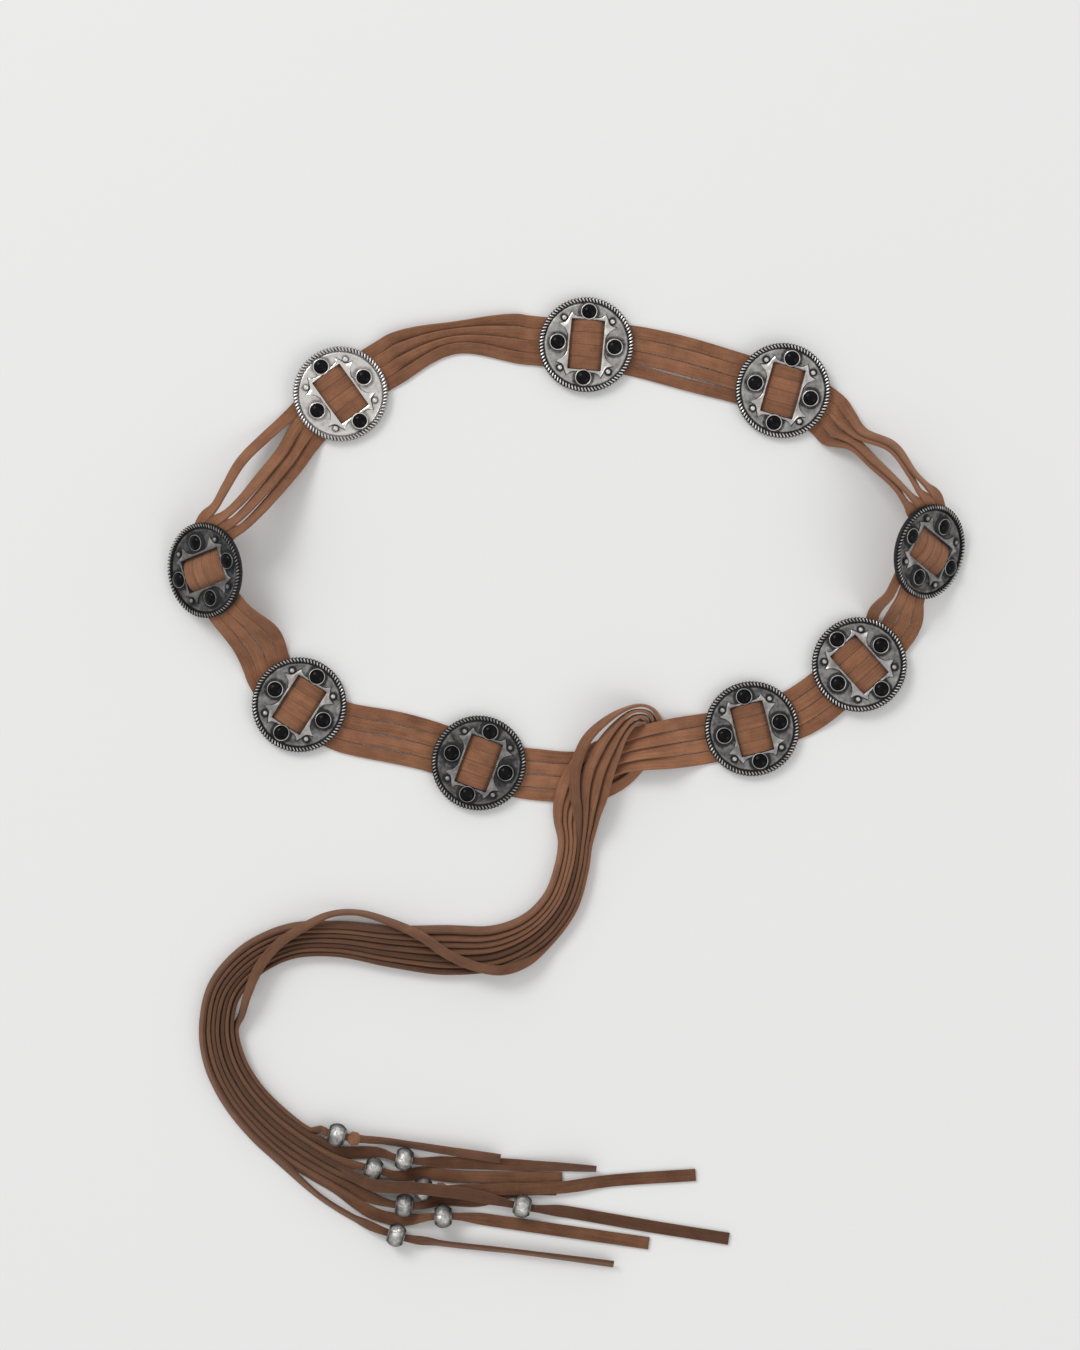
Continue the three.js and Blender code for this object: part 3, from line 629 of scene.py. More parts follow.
def strip_mesh(name, stations, seed, beads=(), wide=False):
    at = np.array([a for a, _ in stations])
    across = np.array([c for _, c in stations])
    tangent = np.gradient(at, axis=0)
    tangent /= norm(tangent, axis=1)[:, None]
    across -= tangent * (across * tangent).sum(axis=1)[:, None]
    across /= norm(across, axis=1)[:, None]
    up = np.cross(tangent, across)
    run = np.concatenate([[0], np.cumsum(norm(np.diff(at, axis=0), axis=1))])

    def wave(rate, layer):
        return np.array([noise.noise(Vector((s * rate, seed, layer))) for s in run])

    flat = np.clip(1 - np.abs(across[:, 2]) / 0.2, 0, 1) if wide else 0.0
    half_w = SHOWN_WIDTH / 2 * (1 + WANDER * wave(0.045, 0.3) * (1 - flat)) + FLAT_EXTRA * flat
    half_t = HALF * (1 + RIPPLE * wave(0.16, 7.7))
    for middle, way in beads:
        near = np.abs((at - middle) @ way)
        close = norm(at - middle, axis=1) < SQUEEZE["within"]
        squeeze = np.clip(1 - (near - SQUEEZE["start"]) / SQUEEZE["fade"], 0, 1) * close
        squeeze = squeeze * squeeze * (3 - 2 * squeeze)
        half_w = half_w * (1 - SQUEEZE["narrower"] * squeeze)
        half_t = half_t * (1 + SQUEEZE["thicker"] * squeeze)
    # No part of the strip goes under the floor
    at[:, 2] = np.maximum(at[:, 2], half_w * np.abs(across[:, 2]) + half_t * np.abs(up[:, 2]))
    cup = CUP * wave(0.03, 3.1)
    rows = []
    for a, b, _ in SECTION:
        bend = (cup * (1 - a * a))[:, None]
        rows.append(at + across * (a * half_w)[:, None] + up * ((b * half_t)[:, None] + bend))
    verts = ((np.stack(rows, axis=1) + SHIFT) * MM).reshape(-1, 3)
    n = len(at)
    rings = [range(i * RING, (i + 1) * RING) for i in range(n)]
    faces = bridged(rings) + [rings[0][::-1], rings[-1]]
    mesh = new_mesh(name, verts.tolist(), faces, "edge", [e for _, _, e in SECTION] * n)
    round_it = [(a * SHOWN_WIDTH / 2, b * HALF) for a, b, _ in SECTION]
    sides = [dist(p, q) for p, q in zip(round_it, round_it[1:] + round_it[:1])]
    girth = np.concatenate([[0], np.cumsum(sides)])
    loops = [(girth[j + dj], run[i + di]) for i in range(n - 1) for j in range(RING)
             for dj, di in ((0, 0), (1, 0), (1, 1), (0, 1))] + [(0.0, 0.0)] * (2 * RING)
    mesh.uv_layers.new(name="run").data.foreach_set("uv", (np.array(loops, np.float32) * MM).reshape(-1))
    outward(mesh)
    return mesh, run[-1] * MM


# %% [markdown]
# ## The eight tails as cords
# Each tail is a free, limp, flat cord that lies loose on the surface. Its length is the whole run from the
# last concho to the tip.

# %% Loose laces
LOOSE = {"from": (50, 90), "leaning": (0.45, 0.8), "turn": radians(4.0) * 1.6, "slide": 0.5}


def loosened(stations, seed):
    """Leaning laces don't lie quite parallel: each leans a little more or less and rides a little higher."""
    loose, run = [], 0.0
    last = len(stations) - 1
    for i, (at, across) in enumerate(stations):
        run += norm(at - stations[i - 1][0]) if i else 0.0
        free = smooth(*LOOSE["from"], run) * smooth(*LOOSE["leaning"], abs(across[2]))
        tangent = unit(stations[min(i + 1, last)][0] - stations[max(i - 1, 0)][0])
        sign = 1 if across[2] > 0 else -1
        rise = across * sign
        foot = at - rise * WIDTH / 2
        turn = LOOSE["turn"] * free * noise.noise(Vector((run * 0.021, seed * 1.7, 5.0)))
        rise = rise * cos(turn) + np.cross(tangent, rise) * sin(turn)
        slide = LOOSE["slide"] * free * (0.5 + noise.noise(Vector((run * 0.026, seed * 2.3, 9.0))))
        loose.append((foot + rise * (WIDTH / 2 + slide), rise * sign))
    return loose


# %% A knot beside a bead
def knotted(mesh, middle, way):
    """Adds a lump of knotted suede beside a bead to the tail's mesh."""
    turn = Matrix.Rotation(atan2(way[1], way[0]), 4, "Z")
    place = Vector((middle + way * KNOT["from"] - np.array([0, 0, KNOT["drop"]]) + SHIFT) * MM)
    size = Matrix.Diagonal(Vector(KNOT["size"]) * MM).to_4x4()
    with edited(mesh) as bm:
        lump = bmesh.ops.create_icosphere(bm, subdivisions=4, radius=1.0)["verts"]
        for vert in lump:
            wrap = 0.05 * sin(7.0 * vert.co.x + 5.0 * vert.co.y) + 0.06 * noise.noise(vert.co * 1.7)
            vert.co *= 0.92 + wrap
            vert.co = Matrix.Translation(place) @ turn @ size @ vert.co
        for face in {f for vert in lump for f in vert.link_faces}:
            face.smooth = True


# %% Tails
TIES = {"left": (LEFT_TIE, MATRICES[0], -1), "right": (RIGHT_TIE, MATRICES[-1], 1)}
PATH_POINTS = 60
suede_pieces = []
tails = []


def suede_piece(name, mesh, length, lace, order=None):
    piece = show(mesh, name, f"suede_{lace + 1}", [f"lace_{lace + 1}"])
    suede_pieces.append((piece, lace, order))
    print(name, "length, mm:", round(length / MM), "faces:", len(mesh.polygons))
    return piece


for order, bead in enumerate(BEADS):
    side, lace = ("left", 3 - order) if order < 4 else ("right", order - 4)
    name = f"lace_{lace + 1}_{side}_tail"
    tie, matrix, sign = TIES[side]
    stations = loosened(follow(way_out(tie, lace, order, matrix, sign)), order)
    mesh, length = strip_mesh(name, stations, 20 + order, [bead_of(order)])
    if bead in KNOTTED:
        knotted(mesh, *bead_of(order))
    picks = np.linspace(0, len(stations) - 1, PATH_POINTS).round().astype(int)
    path = [tuple(map(float, (stations[i][0] + SHIFT) * MM)) for i in picks]
    tails.append((suede_piece(name, mesh, length, lace, order), length, path))

# %% [markdown]
# ## The band's laces
# The part of each lace that runs through the nine conchos is held by them, so it isn't a free cord.

# %% Band
BAND_SPACING = 1.6
for lace in range(4):
    name = f"lace_{lace + 1}_band"
    mesh, length = strip_mesh(name, refine(band_stations(lace), BAND_SPACING), lace + 1, wide=True)
    suede_piece(name, mesh, length, lace)

# %% [markdown]
# ## Node helpers
# Small helpers keep the node trees readable: they fill sockets, make nodes with their settings, and do the
# sums, ranges, mixtures and noises that come again and again.

# %% Node helpers
def fill(tree, sockets, values):
    """Gives each socket its value or its link."""
    for key, value in values.items():
        if isinstance(value, bpy.types.NodeSocket):
            tree.links.new(value, sockets[key])
        else:
            sockets[key].default_value = value


def node(tree, kind, inputs=None, output=0, family="ShaderNode", **settings):
    """One output of a new node."""
    made = tree.nodes.new(family + kind)
    for key, value in settings.items():
        setattr(made, key, value)
    fill(tree, made.inputs, inputs or {})
    return made.outputs[output]


SOCKETS = {int: "Int", float: "Float", tuple: "Vector"}


def new_group(name, kind, inputs, outputs):
    """A node group. An input is given as its socket's type or as its usual value."""
    tree = bpy.data.node_groups.new(name, kind)
    for label, value in inputs.items():
        socket = value if isinstance(value, str) else SOCKETS[type(value)]
        made = tree.interface.new_socket(label, in_out="INPUT", socket_type="NodeSocket" + socket)
        if socket != value:
            made.default_value = value
    for label, socket in outputs.items():
        tree.interface.new_socket(label, in_out="OUTPUT", socket_type="NodeSocket" + socket)
    return tree, tree.nodes.new("NodeGroupInput").outputs, tree.nodes.new("NodeGroupOutput").inputs


def mixed(tree, factor, a, b):
    """Two colours mixed."""
    return node(tree, "Mix", {0: factor, 6: a, 7: b}, 2, data_type="RGBA")


def spread(tree, value, low, high, to_low=0.0, to_high=1.0):
    """A value taken from one range to another and held there."""
    return node(tree, "MapRange", {
        "Value": value, "From Min": low, "From Max": high, "To Min": to_low, "To Max": to_high})


def maths(tree, operation, first, *others):
    """One operation over two or more values, from left to right."""
    for value in others:
        first = node(tree, "Math", {0: first, 1: value}, operation=operation)
    return first


def clouds(tree, place, scale, detail, roughness=0.5, **cut):
    """A noise. An offset W gives another cut of the same noise."""
    return node(tree, "TexNoise", {
        "Vector": place, "Scale": scale, "Detail": detail, "Roughness": roughness, **cut},
        noise_dimensions="4D" if cut else "3D")


def marked(tree, label):
    return node(tree, "Attribute", output="Fac", attribute_name=label)


def object_place(tree):
    return node(tree, "TexCoord", output="Object")


# %% [markdown]
# ## Materials from a pattern
# A pattern is a node group that gives a colour, a roughness and a height for a bump. Materials that share it
# differ only in the values that they give it.

# %% Material helpers
PATTERN = {"Color": "Color", "Roughness": "Float", "Height": "Float"}


def new_material(name):
    material = bpy.data.materials.new(name)
    material.use_nodes = True
    return material, material.node_tree, material.node_tree.nodes["Principled BSDF"].inputs


def patterned(name, group, values, shown, strength, distance, **others):
    material, tree, shader = new_material(name)
    used = tree.nodes.new("ShaderNodeGroup")
    used.node_tree = group
    fill(tree, used.inputs, values)
    bump = node(tree, "Bump", {"Strength": strength, "Distance": distance, "Height": used.outputs["Height"]})
    alike = {output.name: output for output in used.outputs if output.name in shader}
    fill(tree, shader, {"Base Color": used.outputs["Color"], "Normal": bump, **alike, **others})
    material.diffuse_color = shown
    return material


# %% [markdown]
# ## Suede
# Suede is the inner side of a hide, buffed until it has a nap of short fibres. It looks matt, with soft
# patches where the nap lies one way or the other, and fine streaks along the strip from the cutting. The
# patches come from a wide noise, the fibres from a fine one, and the streaks from one that is stretched
# along the lace by its UV map.

# %% Suede pattern
def suede_group():
    tree, inp, out = new_group("suede_nap", "ShaderNodeTree", {
        "Nap": "Color", "Shade": "Color", "Cut edge": "Color", "Offset": "Float",
        "Painted shade share": "Float"}, PATTERN)
    place = object_place(tree)
    run = node(tree, "UVMap", uv_map="run")
    drawn = node(tree, "Mapping", {"Vector": run, "Scale": (1500, 60, 1)})
    patches = clouds(tree, place, 95, 5, 0.62, W=inp["Offset"])
    fibres = clouds(tree, place, 1500, 4, 0.7)
    streaks = clouds(tree, drawn, 1, 3, 0.6, W=inp["Offset"])
    tone = maths(tree, "ADD", spread(tree, patches, 0.36, 0.64, 0, 0.5),
                 spread(tree, streaks, 0.34, 0.66, 0, 0.45), spread(tree, fibres, 0.35, 0.65, -0.05, 0.25))
    face = mixed(tree, tone, inp["Shade"], inp["Nap"])
    suede = mixed(tree, spread(tree, marked(tree, "edge"), 0.25, 1, 0, 0.6), face, inp["Cut edge"])
    # Along its run a tail is painted darker by its share: painted shade on laces that stand on edge and shade each
    # other. Near its start under the concho it is painted a little lighter instead, to lift the shade on the leaning
    # laces of the tie.
    along = node(tree, "SeparateXYZ", {"Vector": run}, "Y")
    loss = maths(tree, "SUBTRACT", inp["Painted shade share"], 1)
    share = maths(tree, "ADD", maths(tree, "MULTIPLY", spread(tree, along, 0.08, 0.2, -0.35, 1), loss), 1)
    fill(tree, out, {
        "Color": node(tree, "VectorMath", {0: suede, "Scale": share}, operation="SCALE"),
        "Roughness": spread(tree, fibres, 0.2, 0.8, 0.86, 1),
        "Height": maths(tree, "ADD", fibres, maths(tree, "MULTIPLY", streaks, 0.8))})
    return tree


SUEDE_NAP = suede_group()
SUEDE_SURFACE = {"Specular IOR Level": 0.15, "Sheen Weight": 0.32, "Sheen Roughness": 0.6,
                 "Sheen Tint": (0.9, 0.6, 0.45, 1)}
# Nap, shade and cut edge for each lace, as linear colour
SUEDE_TONES = [
    ((0.275, 0.122, 0.063, 1), (0.118, 0.05, 0.027, 1), (0.2, 0.096, 0.056, 1)),
    ((0.305, 0.136, 0.071, 1), (0.134, 0.058, 0.031, 1), (0.215, 0.104, 0.06, 1)),
    ((0.295, 0.13, 0.067, 1), (0.126, 0.054, 0.029, 1), (0.208, 0.1, 0.058, 1)),
    ((0.26, 0.114, 0.059, 1), (0.11, 0.047, 0.026, 1), (0.19, 0.092, 0.054, 1)),
]
# The tails are painted darker than the band, each to its own share: painted shade for laces on edge that shade each
# other
TAIL_SHADE_SHARES = [0.66, 0.44, 0.6, 0.38, 0.56, 0.46, 0.62, 0.5]


def suede_material(name, lace, offset, share=1):
    nap, shade, cut = SUEDE_TONES[lace]
    values = {"Nap": nap, "Shade": shade, "Cut edge": cut, "Offset": offset, "Painted shade share": share}
    return patterned(name, SUEDE_NAP, values, nap, 0.6, 0.0003, **SUEDE_SURFACE)


suedes = [suede_material(f"suede_{lace + 1}", lace, 3.7 * lace) for lace in range(4)]
for piece, lace, order in suede_pieces:
    material = suedes[lace]
    if order is not None:
        material = suede_material(f"suede_tail_{order + 1}", lace, 2.9 * order + 1, TAIL_SHADE_SHARES[order])
    piece.data.materials.append(material)
print("suede materials:", len(suedes))

# %% [markdown]
# ## Aged silver
# The castings are plated and then darkened. The dark finish is rubbed off where hands and polish reach, so
# crests are bright and hollows are nearly black. The two are mixed by how deep a spot lies, in a "recess"
# attribute that holds this patina together with painted shade on undersides, crevices and round raised parts,
# by an attribute that holds each casting's tarnish together with painted light, and by a blotchy noise.

# %% Silver pattern
def silver_group():
    tree, inp, out = new_group("silver_ageing", "ShaderNodeTree", {
        "Bright": "Color", "Dark": "Color", "Blotches": "Float", "Grain": "Float",
    }, {**PATTERN, "Metallic": "Float"})
    place, tarnish_and_painted_light = object_place(tree), marked(tree, "tarnish_and_painted_light")
    blotches = spread(tree, clouds(tree, place, 260, 4, 0.65), 0.3, 0.7, -1, 1)
    # A spot's darkness adds its recess, which is patina with painted shade, the attribute of tarnish with painted
    # light, and the blotches.
    depth = maths(tree, "ADD", marked(tree, "recess"), maths(tree, "MULTIPLY", tarnish_and_painted_light, 0.6),
                  maths(tree, "MULTIPLY", blotches, inp["Blotches"]))
    reach = spread(tree, tarnish_and_painted_light, 0, 1, 0.72, 0.17)
    mask = maths(tree, "POWER", spread(tree, depth, 0, 1), reach)
    fill(tree, out, {"Color": mixed(tree, mask, inp["Bright"], inp["Dark"]),
                     "Roughness": spread(tree, mask, 0, 1, 0.27, 0.62),
                     "Metallic": spread(tree, mask, 0, 1, 1, 0.5),
                     "Height": clouds(tree, place, inp["Grain"], 3, 0.6)})
    return tree


SILVER_AGEING = silver_group()


def silver_material(name, bright, dark, blotches, grain, strength, distance):
    values = {"Bright": bright, "Dark": dark, "Blotches": blotches, "Grain": grain}
    return patterned(name, SILVER_AGEING, values, bright, strength, distance)


cast_silver = silver_material("cast_silver", (0.8, 0.765, 0.73, 1), (0.02, 0.02, 0.022, 1), 0.26, 1400,
                              0.35, 0.0002)
bead_silver = silver_material("bead_silver", (0.74, 0.72, 0.69, 1), (0.012, 0.012, 0.012, 1), 0.42, 480,
                              1, 0.0011)

# %% [markdown]
# ## Black stones
# The stones are opaque black cabochons. Their colour is nearly uniform, so the life is in a low gloss and a
# faint cloudiness.

# %% Stone material
def stone_material():
    material, tree, shader = new_material("black_stone")
    cloud = clouds(tree, object_place(tree), 420, 3)
    colour = mixed(tree, spread(tree, cloud, 0.35, 0.7), (0.002, 0.002, 0.003, 1), (0.007, 0.007, 0.008, 1))
    fill(tree, shader, {"Base Color": colour, "Roughness": spread(tree, cloud, 0.3, 0.7, 0.14, 0.22),
                        "Specular IOR Level": 0.09})
    material.diffuse_color = (0.02, 0.02, 0.02, 1)
    return material


black_stone = stone_material()
print("materials:", len(bpy.data.materials))

# %% [markdown]
# ## The plate of a concho
# The plate is a round casting with an oblong window. Its rings of points start on the window's edge and
# become true circles towards the rim, so one set of rings fits both outlines. The heights give a low dome, a
# groove inside the rim and a bed for the rope. Round the stones and the small balls the recess grows, so the
# plate is painted darker there: painted shade next to the raised parts, with patina.

# %% Ring mesh and plate
WINDOW = (7.25, 10.95)
SPOTS = (12.5, 14.5)
BALLS = (10.6, 11.0)
FIELD_EDGE = 16.0
# Painted shade with patina round a bezel and round a ball: how far it reaches, in full and at most, and how deep it is
BEZEL_SHADE_AND_PATINA, BALL_SHADE_AND_PATINA = (4.3, 5.3, 0.45), (1.3, 2.3, 0.75)


def circle_angles(steps, start=0):
    return [2 * pi * (k + start) / steps for k in range(steps)]


PLATE_ANGLES = circle_angles(240, 0.5)


def window_reach(angle):
    c, s = abs(cos(angle)), abs(sin(angle))
    return min(WINDOW[0] / max(c, 1e-9), WINDOW[1] / max(s, 1e-9))


def ring_mesh(name, angles, rings):
    """Joins rings of radius, height and recess. A radius may depend on the angle, and 0 is one point."""
    verts, shades, rows = [], [], []
    for radius, z, shade in rings:
        around = angles if radius else angles[:1]
        rows.append(range(len(verts), len(verts) + len(around)))
        for a in around:
            r = radius(a) if callable(radius) else radius
            verts.append((r * cos(a) * MM, r * sin(a) * MM, z * MM))
        shades += [shade] * len(around)
    if len(rows[0]) > 1:
        rows.append(rows[0])
    mesh = new_mesh(name, verts, bridged(rows), "recess", shades)
    outward(mesh)
    return mesh


def plate_mesh():
    def oblong(share, z, shade):
        return lambda a: window_reach(a) * (1 - share) + FIELD_EDGE * share, z, shade

    # The third number of a ring is its recess: patina on the field, and patina with painted shade in the rope's bed
    # and on the back.
    field = [(0, 2.0, 0.6), (0.15, 2.08, 0.6), (0.3, 2.1, 0.6), (0.45, 2.09, 0.55), (0.6, 2.06, 0.55),
             (0.75, 2.03, 0.5), (0.88, 1.99, 0.5), (1, 1.95, 0.5)]
    rim = [(17.0, 1.95, 0.5), (17.6, 2.1, 0.4), (17.95, 2.05, 0.55), (18.3, 1.8, 0.95), (18.6, 1.7, 1.1),
           (19.2, 1.8, 1.15), (20.0, 1.7, 1.15), (20.45, 1.4, 1.1), (20.6, 1.0, 1.0), (20.55, 0.4, 0.9),
           (20.2, 0.05, 0.7), (19.5, 0.0, 0.6), (17.0, 0.0, 0.6)]
    back = [(0.5, 0.0, 0.5), (0, 0.0, 0.5)]
    rings = [oblong(*row) for row in field] + rim + [oblong(*row) for row in back]
    mesh = ring_mesh("plate", PLATE_ANGLES, rings)
    for vert, shade in zip(mesh.vertices, mesh.attributes["recess"].data):
        u, v = abs(vert.co.x) / MM, abs(vert.co.y) / MM
        bezel = min(hypot(u - SPOTS[0], v), hypot(u, v - SPOTS[1]))
        ball = hypot(u - BALLS[0], v - BALLS[1])
        for away, (full, none, depth) in ((bezel, BEZEL_SHADE_AND_PATINA), (ball, BALL_SHADE_AND_PATINA)):
            shade.value += depth * (1 - smooth(full, none, away))
    return mesh


# %% [markdown]
# ## The raised frame round the window
# The frame has two points at each corner of the window, with a notch between them for a small ball. A
# quarter of its outline is drawn and mirrored. Its top edges are rounded, as in a worn casting.

# %% Frame
FRAME_QUARTER = [(8.35, 0.0), (8.35, 3.6), (9.2, 5.6), (10.8, 7.3), (12.6, 8.5), (11.2, 8.9), (9.9, 9.4),
                 (9.2, 10.3), (8.7, 11.6), (7.5, 14.0), (6.3, 12.7), (4.6, 12.15), (0.0, 12.05)]
# For each ring: in from the window, in from the outline, the share of the way between them, height and
# recess
FRAME_RINGS = [
    (0.02, 0, 0, 0.6, 1.0), (0.02, 0, 0, 2.25, 0.8), (0.1, 0, 0, 2.6, 0.55), (0.35, 0, 0, 2.75, 0.26),
    (0.4, 0.55, 0.5, 2.85, 0.2), (0.4, 0.45, 1, 2.75, 0.1), (0.3, 0.18, 1, 2.55, 0.04),
    (0.2, 0.02, 1, 2.28, 0.5), (0.2, -0.05, 1, 2.2, 1.4), (0.2, -0.3, 1, 2.16, 1.3),
    (0.2, -0.35, 1, 1.5, 1.2), (0.2, 0.3, 1, 0.6, 1.0),
]
LEAST_WIDTH = 0.05


def frame_mesh():
    loop = []
    for su, sv in ((1, 1), (-1, 1), (-1, -1), (1, -1)):
        loop += [(su * u, sv * v) for u, v in FRAME_QUARTER[::su * sv]]
    tips = [atan2(v, u) % (2 * pi) for u, v in loop]
    angles = sorted({round(a, 4) for a in tips + PLATE_ANGLES})

    def reach(angle):
        """How far out the outline lies at this angle: it is turned until the angle lies along x."""
        c, s = cos(angle), sin(angle)
        turned = [(x * c + y * s, y * c - x * s) for x, y in loop]
        pairs = zip(turned, turned[1:] + turned[:1])
        return max((x1 * y2 - x2 * y1) / (y2 - y1) for (x1, y1), (x2, y2) in pairs
                   if y1 * y2 <= 0 and y1 != y2)

    reaches = {a: reach(a) for a in angles}

    def between(inset_in, inset_out, share, z, shade):
        def radius(a):
            r_in = window_reach(a) + inset_in
            return r_in + max(reaches[a] - inset_out - r_in, LEAST_WIDTH) * share
        return radius, z, shade

    return ring_mesh("frame", angles, [between(*row) for row in FRAME_RINGS])


# %% [markdown]
# ## Bezels and stones
# Anything round is a profile turned about its own axis. The profile lists radius, height and recess.

# %% Bezel and stone
BEZEL = [
    (3.05, 1.0, 1.0), (3.05, 2.9, 1.0), (3.15, 3.15, 0.75), (3.3, 3.25, 0.12), (3.5, 3.2, 0.08),
    (3.65, 2.95, 0.7), (3.75, 2.6, 1.0), (3.9, 2.4, 1.1), (4.1, 2.3, 0.6), (4.25, 2.1, 0.9), (4.3, 1.0, 1.1),
]
CABOCHON = [
    (0, 1.3, 0), (3.0, 1.3, 0), (3.02, 2.9, 0), (2.9, 3.3, 0), (2.6, 3.68, 0), (2.1, 4.02, 0),
    (1.45, 4.26, 0), (0.75, 4.4, 0), (0, 4.44, 0),
]
bezel_mesh, stone_mesh = (ring_mesh(name, circle_angles(32), profile)
                          for name, profile in (("bezel", BEZEL), ("cabochon", CABOCHON)))
print("bezel faces:", len(bezel_mesh.polygons), "stone faces:", len(stone_mesh.polygons))

# %% [markdown]
# ## Geometry Nodes for what repeats
# A rope rim is the same short strand many times round a circle, so a node tree sets the strands. It also
# puts the bezels and the small balls in their places and joins them to the plate. Its inputs are the sizes,
# so a different concho could be made by changing numbers.

# %% Casting tree
def geo(tree, kind, inputs=None, output=0, **settings):
    return node(tree, kind, inputs, output, "GeometryNode", **settings)


def rotation(tree, kind, inputs, **settings):
    return node(tree, kind, inputs, family="FunctionNode", **settings)


def geo_tree(name, inputs):
    shape = {"Geometry": "Geometry"}
    tree, inp, out = new_group(name, "GeometryNodeTree", {**shape, **inputs}, shape)
    tree.is_modifier = True
    return tree, inp, out


def give(tree, out, shape, material):
    """Makes instances real, gives them their material and sends them out."""
    real = geo(tree, "RealizeInstances", {"Geometry": shape})
    fill(tree, out, {"Geometry": geo(tree, "SetMaterial", {"Geometry": real, "Material": material})})


def vector(tree, **parts):
    return node(tree, "CombineXYZ", parts)


def at_four(tree, shape, half_u, half_v, turn=0.0):
    """Copies of a shape at four points of a circle that is stretched to half_u and half_v."""
    ring = geo(tree, "Transform", {"Geometry": geo(tree, "MeshCircle", {"Vertices": 4, "Radius": 1.0}),
                                   "Rotation": (0, 0, turn)})
    points = geo(tree, "Transform", {"Geometry": ring, "Scale": vector(tree, X=half_u, Y=half_v, Z=1.0)})
    return geo(tree, "InstanceOnPoints", {"Points": points, "Instance": shape})


def casting_tree():
    tree, inp, out = geo_tree("concho_casting", {
        "Frame": "Object", "Bezel": "Object", "Metal": "Material", "Strands": 84, "Rope radius": 0.01965,
        "Rope height": 0.0021, "Strand size": (0.00145, 0.0005, 0.0009), "Strand lean": 0.5,
        "Stones along": SPOTS[0] * MM, "Stones across": SPOTS[1] * MM, "Ball radius": 0.00128,
        "Balls along": BALLS[0] * MM, "Balls across": BALLS[1] * MM})

    def ball(segments, rings, low, high):
        """A unit ball that stores how deep each of its points lies: its lower side gets a high recess, painted shade
        with patina where it meets the plate.
        """
        shape = geo(tree, "MeshUVSphere", {"Segments": segments, "Rings": rings, "Radius": 1.0})
        height = node(tree, "SeparateXYZ", {"Vector": geo(tree, "InputPosition")}, "Z")
        depth = spread(tree, height, low, high, 1.9, 0)
        return geo(tree, "StoreNamedAttribute", {"Geometry": shape, "Name": "recess", "Value": depth},
                   data_type="FLOAT", domain="POINT")

    strand = geo(tree, "Transform", {"Geometry": ball(10, 6, 0.15, 0.85), "Scale": inp["Strand size"]})
    circle = geo(tree, "MeshCircle", {"Vertices": inp["Strands"], "Radius": inp["Rope radius"]})
    outwards = rotation(tree, "AlignRotationToVector", {"Vector": geo(tree, "InputPosition")}, axis="X")
    lean = rotation(tree, "EulerToRotation", {"Euler": vector(tree, Z=inp["Strand lean"])})
    turn = rotation(tree, "RotateRotation", {"Rotation": outwards, "Rotate By": lean}, rotation_space="LOCAL")
    rope = geo(tree, "InstanceOnPoints", {"Points": circle, "Instance": strand, "Rotation": turn})
    lift = vector(tree, Z=inp["Rope height"])
    rope = geo(tree, "Transform", {"Geometry": rope, "Translation": lift})
    frame_part, bezel = (geo(tree, "ObjectInfo", {"Object": inp[label]}, "Geometry")
                         for label in ("Frame", "Bezel"))
    bezels = at_four(tree, bezel, inp["Stones along"], inp["Stones across"])
    size = vector(tree, **dict.fromkeys("XYZ", inp["Ball radius"]))
    small = geo(tree, "Transform", {"Geometry": ball(14, 8, 0.2, 0.75), "Scale": size, "Translation": lift})
    corner = [maths(tree, "MULTIPLY", inp[label], sqrt(2)) for label in ("Balls along", "Balls across")]
    balls = at_four(tree, small, *corner, pi / 4)
    joined = tree.nodes.new("GeometryNodeJoinGeometry")
    for part in (inp["Geometry"], frame_part, rope, bezels, balls):
        tree.links.new(part, joined.inputs["Geometry"])
    give(tree, out, joined.outputs["Geometry"], inp["Metal"])
    return tree


# %% [markdown]
# A modifier keeps its inputs under the sockets' identifiers, so they are looked up by label. The result is
# copied to a plain mesh and the helper objects are removed.

# %% Run a tree
def grown(mesh, tree, values):
    """The mesh that the tree makes from this one."""
    carrier = linked("carrier", mesh)
    modifier = carrier.modifiers.new("nodes", "NODES")
    modifier.node_group = tree
    sockets = {s.name: s.identifier for s in tree.interface.items_tree if s.in_out == "INPUT"}
    for label, value in values.items():
        modifier[sockets[label]] = value
    bpy.context.view_layer.update()
    depsgraph = bpy.context.evaluated_depsgraph_get()
    result = bpy.data.meshes.new_from_object(carrier.evaluated_get(depsgraph), depsgraph=depsgraph)
    carrier.modifiers.remove(modifier)
    for helper in [carrier] + [value for value in values.values() if isinstance(value, bpy.types.Object)]:
        bpy.data.objects.remove(helper)
    used = [m for m in result.materials if m]
    result.materials.clear()
    result.materials.append(used[0])
    result.polygons.foreach_set("material_index", np.zeros(len(result.polygons), np.int32))
    return result


casting = grown(plate_mesh(), casting_tree(), {"Frame": linked("frame", frame_mesh()),
                                               "Bezel": linked("bezel", bezel_mesh), "Metal": cast_silver})
print("casting faces:", len(casting.polygons), "materials:", [m.name for m in casting.materials])

# %% [markdown]
# ## Nine conchos and their stones
# The bar that the laces cross is added under the window. Every concho is a copy of the one casting, with its
# own place, tilt and tarnish, because castings don't age alike. Concho 4's tarnish is set below zero, which
# paints it brighter than the others: a painted reflection of the light on its face.

